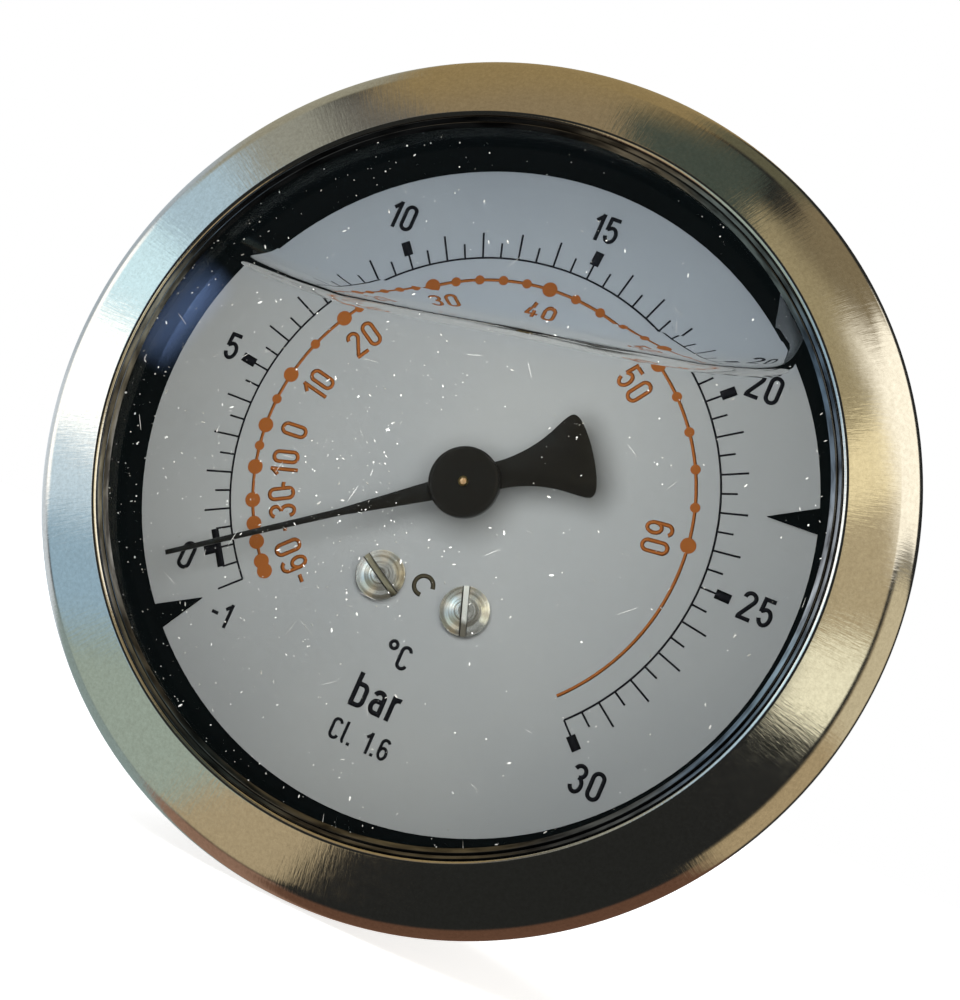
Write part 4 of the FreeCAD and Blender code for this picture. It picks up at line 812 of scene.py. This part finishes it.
class Print:
    # Strokes gathered for one ink, each a centre line in millimetres on the dial and a width
    def __init__(self):
        self.strokes = []

    def line(self, points, width):
        self.strokes.append((points, width))

    def radial(self, angle, inner, outer, width):
        c, s = compass(angle)
        self.line([(inner * c, inner * s), (outer * c, outer * s)], width)

    def text(self, words, height, x, z, turn):
        gap = printSizes["letterGap"]
        length = sum(glyphs[letter][0] for letter in words) + gap * (len(words) - 1)
        c, s = compass(turn)
        cursor = -length / 2
        for letter in words:
            width, strokes = glyphs[letter]
            for stroke in strokes:
                placed = [((cursor + a) * height, (b - h / 2) * height) for a, b in stroke]
                self.line([(x + a * c - b * s, z + a * s + b * c) for a, b in placed],
                          printSizes["strokeShare"] * height)
            cursor += width + gap

    def build(self, name, material):
        bm = bmesh.new()
        for points, width in self.strokes:
            curve = bpy.data.curves.new("stroke", "CURVE")
            curve.dimensions = "3D"
            curve.bevel_depth = width / 2
            curve.bevel_resolution = 0
            curve.use_fill_caps = True
            spline = curve.splines.new("POLY")
            closed = len(points) > 3 and math.dist(points[0], points[-1]) < 1e-6
            shown = points[:-1] if closed else points
            spline.points.add(len(shown) - 1)
            for point, (a, b) in zip(spline.points, shown):
                point.co = (a, b, 0.0, 1.0)
            spline.use_cyclic_u = closed
            holder = bpy.data.objects.new("stroke", curve)
            mesh = bpy.data.meshes.new_from_object(holder)
            mesh.transform(Matrix.Diagonal((1.0, 1.0, printSizes["thickness"] / width, 1.0)))
            bm.from_mesh(mesh)
            bpy.data.objects.remove(holder)
            bpy.data.curves.remove(curve)
            bpy.data.meshes.remove(mesh)
        bmesh.ops.transform(bm, matrix=standing(printSizes["front"]), verts=bm.verts)
        bmesh.ops.recalc_face_normals(bm, faces=bm.faces)
        return finishPiece(name, bm, "housing", material, smooth=0)


def pressureAngle(pressure):
    share = (pressure - p["startPressure"]) / (p["endPressure"] - p["startPressure"])
    return p["startAngle"] - p["sweep"] * share


p = printSizes
black = Print()
ends = pressureAngle(p["startPressure"]), pressureAngle(p["endPressure"])
black.line(arc(0, 0, p["arcRadius"], p["arcRadius"], *ends, 200), p["lineWidth"])
for half in range(2 * p["startPressure"], 2 * p["endPressure"] + 1):
    angle = pressureAngle(half / 2)
    if half % 10 == 0:
        black.radial(angle, p["arcRadius"], p["blockInner"] + p["blockOverlap"], p["lineWidth"])
        black.radial(angle, p["blockInner"], p["blockOuter"], p["blockWidth"])
        black.text(str(half // 2), p["numberHeight"], *p["numbers"][half // 2], 0)
    else:
        black.radial(angle, p["arcRadius"], p["halfTick"] if half % 2 else p["fullTick"], p["lineWidth"])
c, s = compass(pressureAngle(0))
black.line([(p["zeroBarRadius"] * c - side * s, p["zeroBarRadius"] * s + side * c)
            for side in (-p["zeroBarLength"] / 2, p["zeroBarLength"] / 2)], p["zeroBarWidth"])
for words, size in p["words"].items():
    black.text(words, *size, 0)
black.build("scalePrint", inks["blackScreenInk"])

orange = Print()
o = orangeSizes
orange.line(arc(0, 0, o["lineRadius"], o["lineRadius"], o["angles"][-60], o["lineEnd"], 200), o["lineWidth"])
for temperature, angle in o["numbers"].items():
    c, s = compass(angle)
    middle = o["numberRadius"] * c, o["numberRadius"] * s
    orange.text(str(temperature), o["numberHeight"], *middle, angle - 90)
orange.build("temperaturePrint", inks["orangeScreenInk"])

bm = bmesh.new()
dots = [(t, o["tenDot"]) for t in o["angles"]]
dots += [(t, o["smallDot"]) for t in [-5, 5, 15] + [t for t in range(22, 59, 2) if t % 10]]
for number, (temperature, size) in enumerate(dots):
    # neighbours touch near the scale's start, so every other dot lies a hair higher
    rise = o["dotRise"] * (number % 2)
    c, s = compass(between(list(o["angles"].items()), temperature))
    place = Matrix.Translation((o["lineRadius"] * mm * c, (p["front"] - rise) * mm,
                                o["lineRadius"] * mm * s))
    bmesh.ops.create_cone(bm, cap_ends=True, segments=28, radius1=size / 2 * mm, radius2=size / 2 * mm,
                          depth=p["thickness"] * mm,
                          matrix=place @ Matrix.Rotation(math.radians(90), 4, "X"))
finishPiece("temperatureDots", bm, "housing", inks["orangeScreenInk"], smooth=0)

# painted shade where a small open ring is cut into the dial
k = markSizes
cutMark = Print()
cutMark.line(arc(*k["middle"], k["radius"], k["radius"], k["start"], k["end"], 30), k["width"])
cutMark.build("paintedCutShade", inks["paintedCutShade"])
print("dial printed")


# Fill: glycerine between the window and the dial, with the air bubble that every filled gauge keeps.

fillSizes = {
    "front": -41.93,
    "back": -35.85,
    "frontRadius": 28.8,
    "backRadius": 27.9,
    "bubbleRadius": 27.6,
    # the bubble reaches the ring's sloping wall at the front and at the back
    "bubbleReach": (28.62, 27.72),
    "bubbleFront": -41.88,
    "bubbleBack": -36.05,
    "levelTurn": 14.1,
    "tilt": 6.0,
    "meniscus": 2.4,
    "meniscusSteps": 9,
    "cornerReach": 6.0,
    "cornerRounds": 25,
    "cornerRise": 4.5,
    # the sag ends this far below the bubble's top; the climb and the tilt fade out over these heights
    "sagEnd": 2.0,
    "climbFade": 3.0,
    "tiltStart": 1.5,
    "tiltFade": 4.0,
    # from this radius on the bubble widens to meet the ring
    "reachStart": 20.0,
    "steps": 180,
    # how far the surface stands above the dial's centre, along the window
    "contact": [(-24.0, 15.6), (-19.9, 14.3), (-16.2, 13.5), (-12.5, 12.75), (-5.0, 12.2), (1.5, 11.85),
                (8.7, 11.25), (16.7, 10.8), (24.0, 10.9)],
}


def surfaceHeight(along):
    known = fillSizes["contact"]
    return between(known, min(max(along, known[0][0]), known[-1][0]))


f = fillSizes
bm = bmesh.new()
bmesh.ops.create_circle(bm, cap_ends=True, segments=f["steps"], radius=f["bubbleRadius"])
middle = surfaceHeight(0.0)
bmesh.ops.bisect_plane(bm, geom=bm.verts[:] + bm.edges[:] + bm.faces[:], plane_co=(0, middle, 0),
                       plane_no=(0, -1, 0), clear_outer=True)
chord = [e for e in bm.edges if all(abs(v.co.y - middle) < 1e-5 for v in e.verts)]
bmesh.ops.subdivide_edges(bm, edges=chord, cuts=60)
# The chord sags between the two walls, and its ends are rounded where it meets the ring
top = f["bubbleRadius"] - f["sagEnd"]
for v in bm.verts:
    v.co.y += (surfaceHeight(v.co.x) - middle) * clamp((top - v.co.y) / (top - middle))
ends = [v for v in bm.verts if v.co.y < middle + f["cornerRise"]
        and v.co.length > f["bubbleRadius"] - f["cornerReach"]]
for i in range(f["cornerRounds"]):
    bmesh.ops.smooth_vert(bm, verts=ends, factor=0.5, use_axis_x=True, use_axis_y=True, use_axis_z=False)
bmesh.ops.translate(bm, vec=(0, 0, f["meniscus"]), verts=bm.verts)
bmesh.ops.recalc_face_normals(bm, faces=bm.faces)
front = bm.faces[:][0]
raised = bmesh.ops.extrude_face_region(bm, geom=[front])
back = next(item for item in raised["geom"] if isinstance(item, bmesh.types.BMFace))
bmesh.ops.translate(bm, vec=(0, 0, f["bubbleBack"] - f["bubbleFront"] - 2 * f["meniscus"]),
                    verts=list(back.verts))


def climb(cap, side):
    # The liquid climbs the wall in a quarter round, which fades out where the bubble meets the ring
    for i in range(f["meniscusSteps"]):
        low, high = [math.radians(90 * k / f["meniscusSteps"]) for k in (i, i + 1)]
        raised = bmesh.ops.extrude_face_region(bm, geom=[cap])
        bmesh.ops.delete(bm, geom=[cap], context="FACES_ONLY")
        cap = next(item for item in raised["geom"] if isinstance(item, bmesh.types.BMFace))
        for v in cap.verts:
            above = v.co.y - surfaceHeight(v.co.x) - f["meniscus"]
            share = 1.0 - clamp(above / f["climbFade"])
            v.co.y += f["meniscus"] * (math.cos(low) - math.cos(high)) * share
            v.co.z += side * f["meniscus"] * (math.sin(high) - math.sin(low))
            if v.co.xy.length > f["bubbleRadius"]:
                v.co.xy = v.co.xy.normalized() * f["bubbleRadius"]


climb(front, -1.0)
climb(back, 1.0)
for v in bm.verts:
    # The level tilts with the gauge
    share = 1.0 - clamp((v.co.y - surfaceHeight(v.co.x) - f["tiltStart"]) / f["tiltFade"])
    v.co.y += v.co.z * math.tan(math.radians(f["tilt"])) * share
for v in bm.verts:
    depth = v.co.z / (f["bubbleBack"] - f["bubbleFront"])
    reach = f["bubbleReach"][0] * (1.0 - depth) + f["bubbleReach"][1] * depth
    share = clamp((v.co.xy.length - f["reachStart"]) / (f["bubbleRadius"] - f["reachStart"])) ** 2
    v.co.xy *= 1.0 + (reach / f["bubbleRadius"] - 1.0) * share
turn = Matrix.Rotation(math.radians(f["levelTurn"]), 4, "Z")
bmesh.ops.transform(bm, matrix=standing(f["bubbleFront"]) @ turn, verts=bm.verts)
bmesh.ops.remove_doubles(bm, verts=bm.verts, dist=0.02 * mm)
bmesh.ops.recalc_face_normals(bm, faces=bm.faces)
bmesh.ops.reverse_faces(bm, faces=bm.faces)
for face in bm.faces:
    face.material_index = 1
place = Matrix.Translation((0, (f["front"] + f["back"]) / 2 * mm, 0))
bmesh.ops.create_cone(bm, cap_ends=True, segments=f["steps"], radius1=f["frontRadius"] * mm,
                      radius2=f["backRadius"] * mm, depth=(f["back"] - f["front"]) * mm,
                      matrix=place @ Matrix.Rotation(math.radians(-90), 4, "X"))
fill = finishPiece("glycerineFill", bm, "housing", clears["clearGlycerine"], smooth=30)
fill.data.materials.append(clears["bubbleSkin"])
for face in fill.data.polygons:
    # the two plane walls stay plane to the light
    face.use_smooth = len(face.vertices) < 9
print("fill and bubble made")


# Thread: the socket's copy with its thread cut between the crests that the solid shows.

threadSizes = {"crest": 6.58, "root": 5.72, "pitch": 1.337, "start": 0.9, "end": 12.7, "crestFlat": 0.2,
               "steps": 40, "rootWidth": 1.24, "rooted": 0.15, "slack": 0.05, "span": (-0.02, 12.9),
               "runOut": 0.4, "chamferStart": 12.0}

t = threadSizes
bm = copyNode("socket")
for v in bm.verts:
    radius = math.hypot(v.co.x, v.co.z) / mm
    onThread = t["root"] + t["slack"] < radius < t["crest"] + t["slack"]
    if onThread and t["span"][0] * mm < v.co.y < t["span"][1] * mm:
        v.co.x *= t["root"] / radius
        v.co.z *= t["root"] / radius
foot = t["root"] - t["rooted"]
ridge = [(foot, -t["rootWidth"] / 2), (t["crest"], -t["crestFlat"] / 2), (t["crest"], t["crestFlat"] / 2),
         (foot, t["rootWidth"] / 2)]
start = [bm.verts.new((r * mm, (t["start"] + y) * mm, 0.0)) for r, y in ridge]
face = bm.faces.new(start)
turns = (t["end"] - t["start"]) / t["pitch"] - t["runOut"]
steps = int(turns * t["steps"])
bmesh.ops.spin(bm, geom=start + list(face.edges) + [face], cent=(0, 0, 0), axis=(0, 1, 0),
               dvec=(0, t["pitch"] / t["steps"] * mm, 0), angle=math.radians(360 / t["steps"] * steps),
               steps=steps, use_merge=False)
for v in bm.verts:
    radius = math.hypot(v.co.x, v.co.z) / mm
    height = v.co.y / mm
    allowed = t["crest"] - max(0.0, height - t["chamferStart"])
    if height > t["chamferStart"] and radius > allowed:
        v.co.x *= allowed / radius
        v.co.z *= allowed / radius
bmesh.ops.recalc_face_normals(bm, faces=bm.faces)
threaded = finishPiece("threadedSocket", bm, "housing", metals["turnedBrass"], smooth=30)
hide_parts("socket")
print("thread cut")


# Specks: dust, fine lint and hair scratches on the window's face.

speckSizes = {
    "count": 1300,
    "smallest": 0.024,
    "largest": 0.085,
    "inner": 5.0,
    "radius": 28.0,
    "front": -44.953,
    # powers: how strongly they gather near the ring, and how rare the large ones are
    "gather": 1.4,
    "rarity": 2.8,
    # the side that the window lights, in degrees, and the spread round it in radians
    "litSide": 205,
    "litSpread": 0.8,
    "stretches": (1.0, 1.0, 1.3, 2.6),
    "breadths": (0.6, 1.1),
    "height": 0.3,
    "mostTurn": 3.1,
    "scratches": 46,
    "scratchWidth": 0.035,
    "scratchLength": (0.3, 1.9),
    "scratchHeight": 0.5,
}
dustFinish = {"tones": [(0.35, "#8E8C84"), (0.65, "#F8F8F4")], "grain": 1.2, "roughness": (0.5, 0.5)}

d = speckSizes
bm = bmesh.new()
for i in range(d["count"] + d["scratches"]):
    # most of it lies near the ring, and more on the side that the window lights
    radius = d["radius"] - (d["radius"] - d["inner"]) * random.random() ** d["gather"]
    angle = random.choice((random.uniform(0, 2 * math.pi),
                           random.gauss(math.radians(d["litSide"]), d["litSpread"])))
    size = d["smallest"] + (d["largest"] - d["smallest"]) * random.random() ** d["rarity"]
    stretch = (random.choice(d["stretches"]), d["height"], random.uniform(*d["breadths"]))
    if i >= d["count"]:
        size = d["scratchWidth"] / 2
        stretch = (random.uniform(*d["scratchLength"]) / d["scratchWidth"], d["scratchHeight"], 1.0)
    place = Matrix.Translation((radius * mm * math.cos(angle), d["front"] * mm,
                                radius * mm * math.sin(angle)))
    turned = Matrix.Rotation(random.uniform(0, d["mostTurn"]), 4, "Y") @ Matrix.Diagonal((*stretch, 1.0))
    bmesh.ops.create_icosphere(bm, subdivisions=1, radius=size * mm, matrix=place @ turned)
finishPiece("windowDust", bm, "housing", grainedMaterial("paleDust", dustFinish), smooth=60)
print("specks scattered")
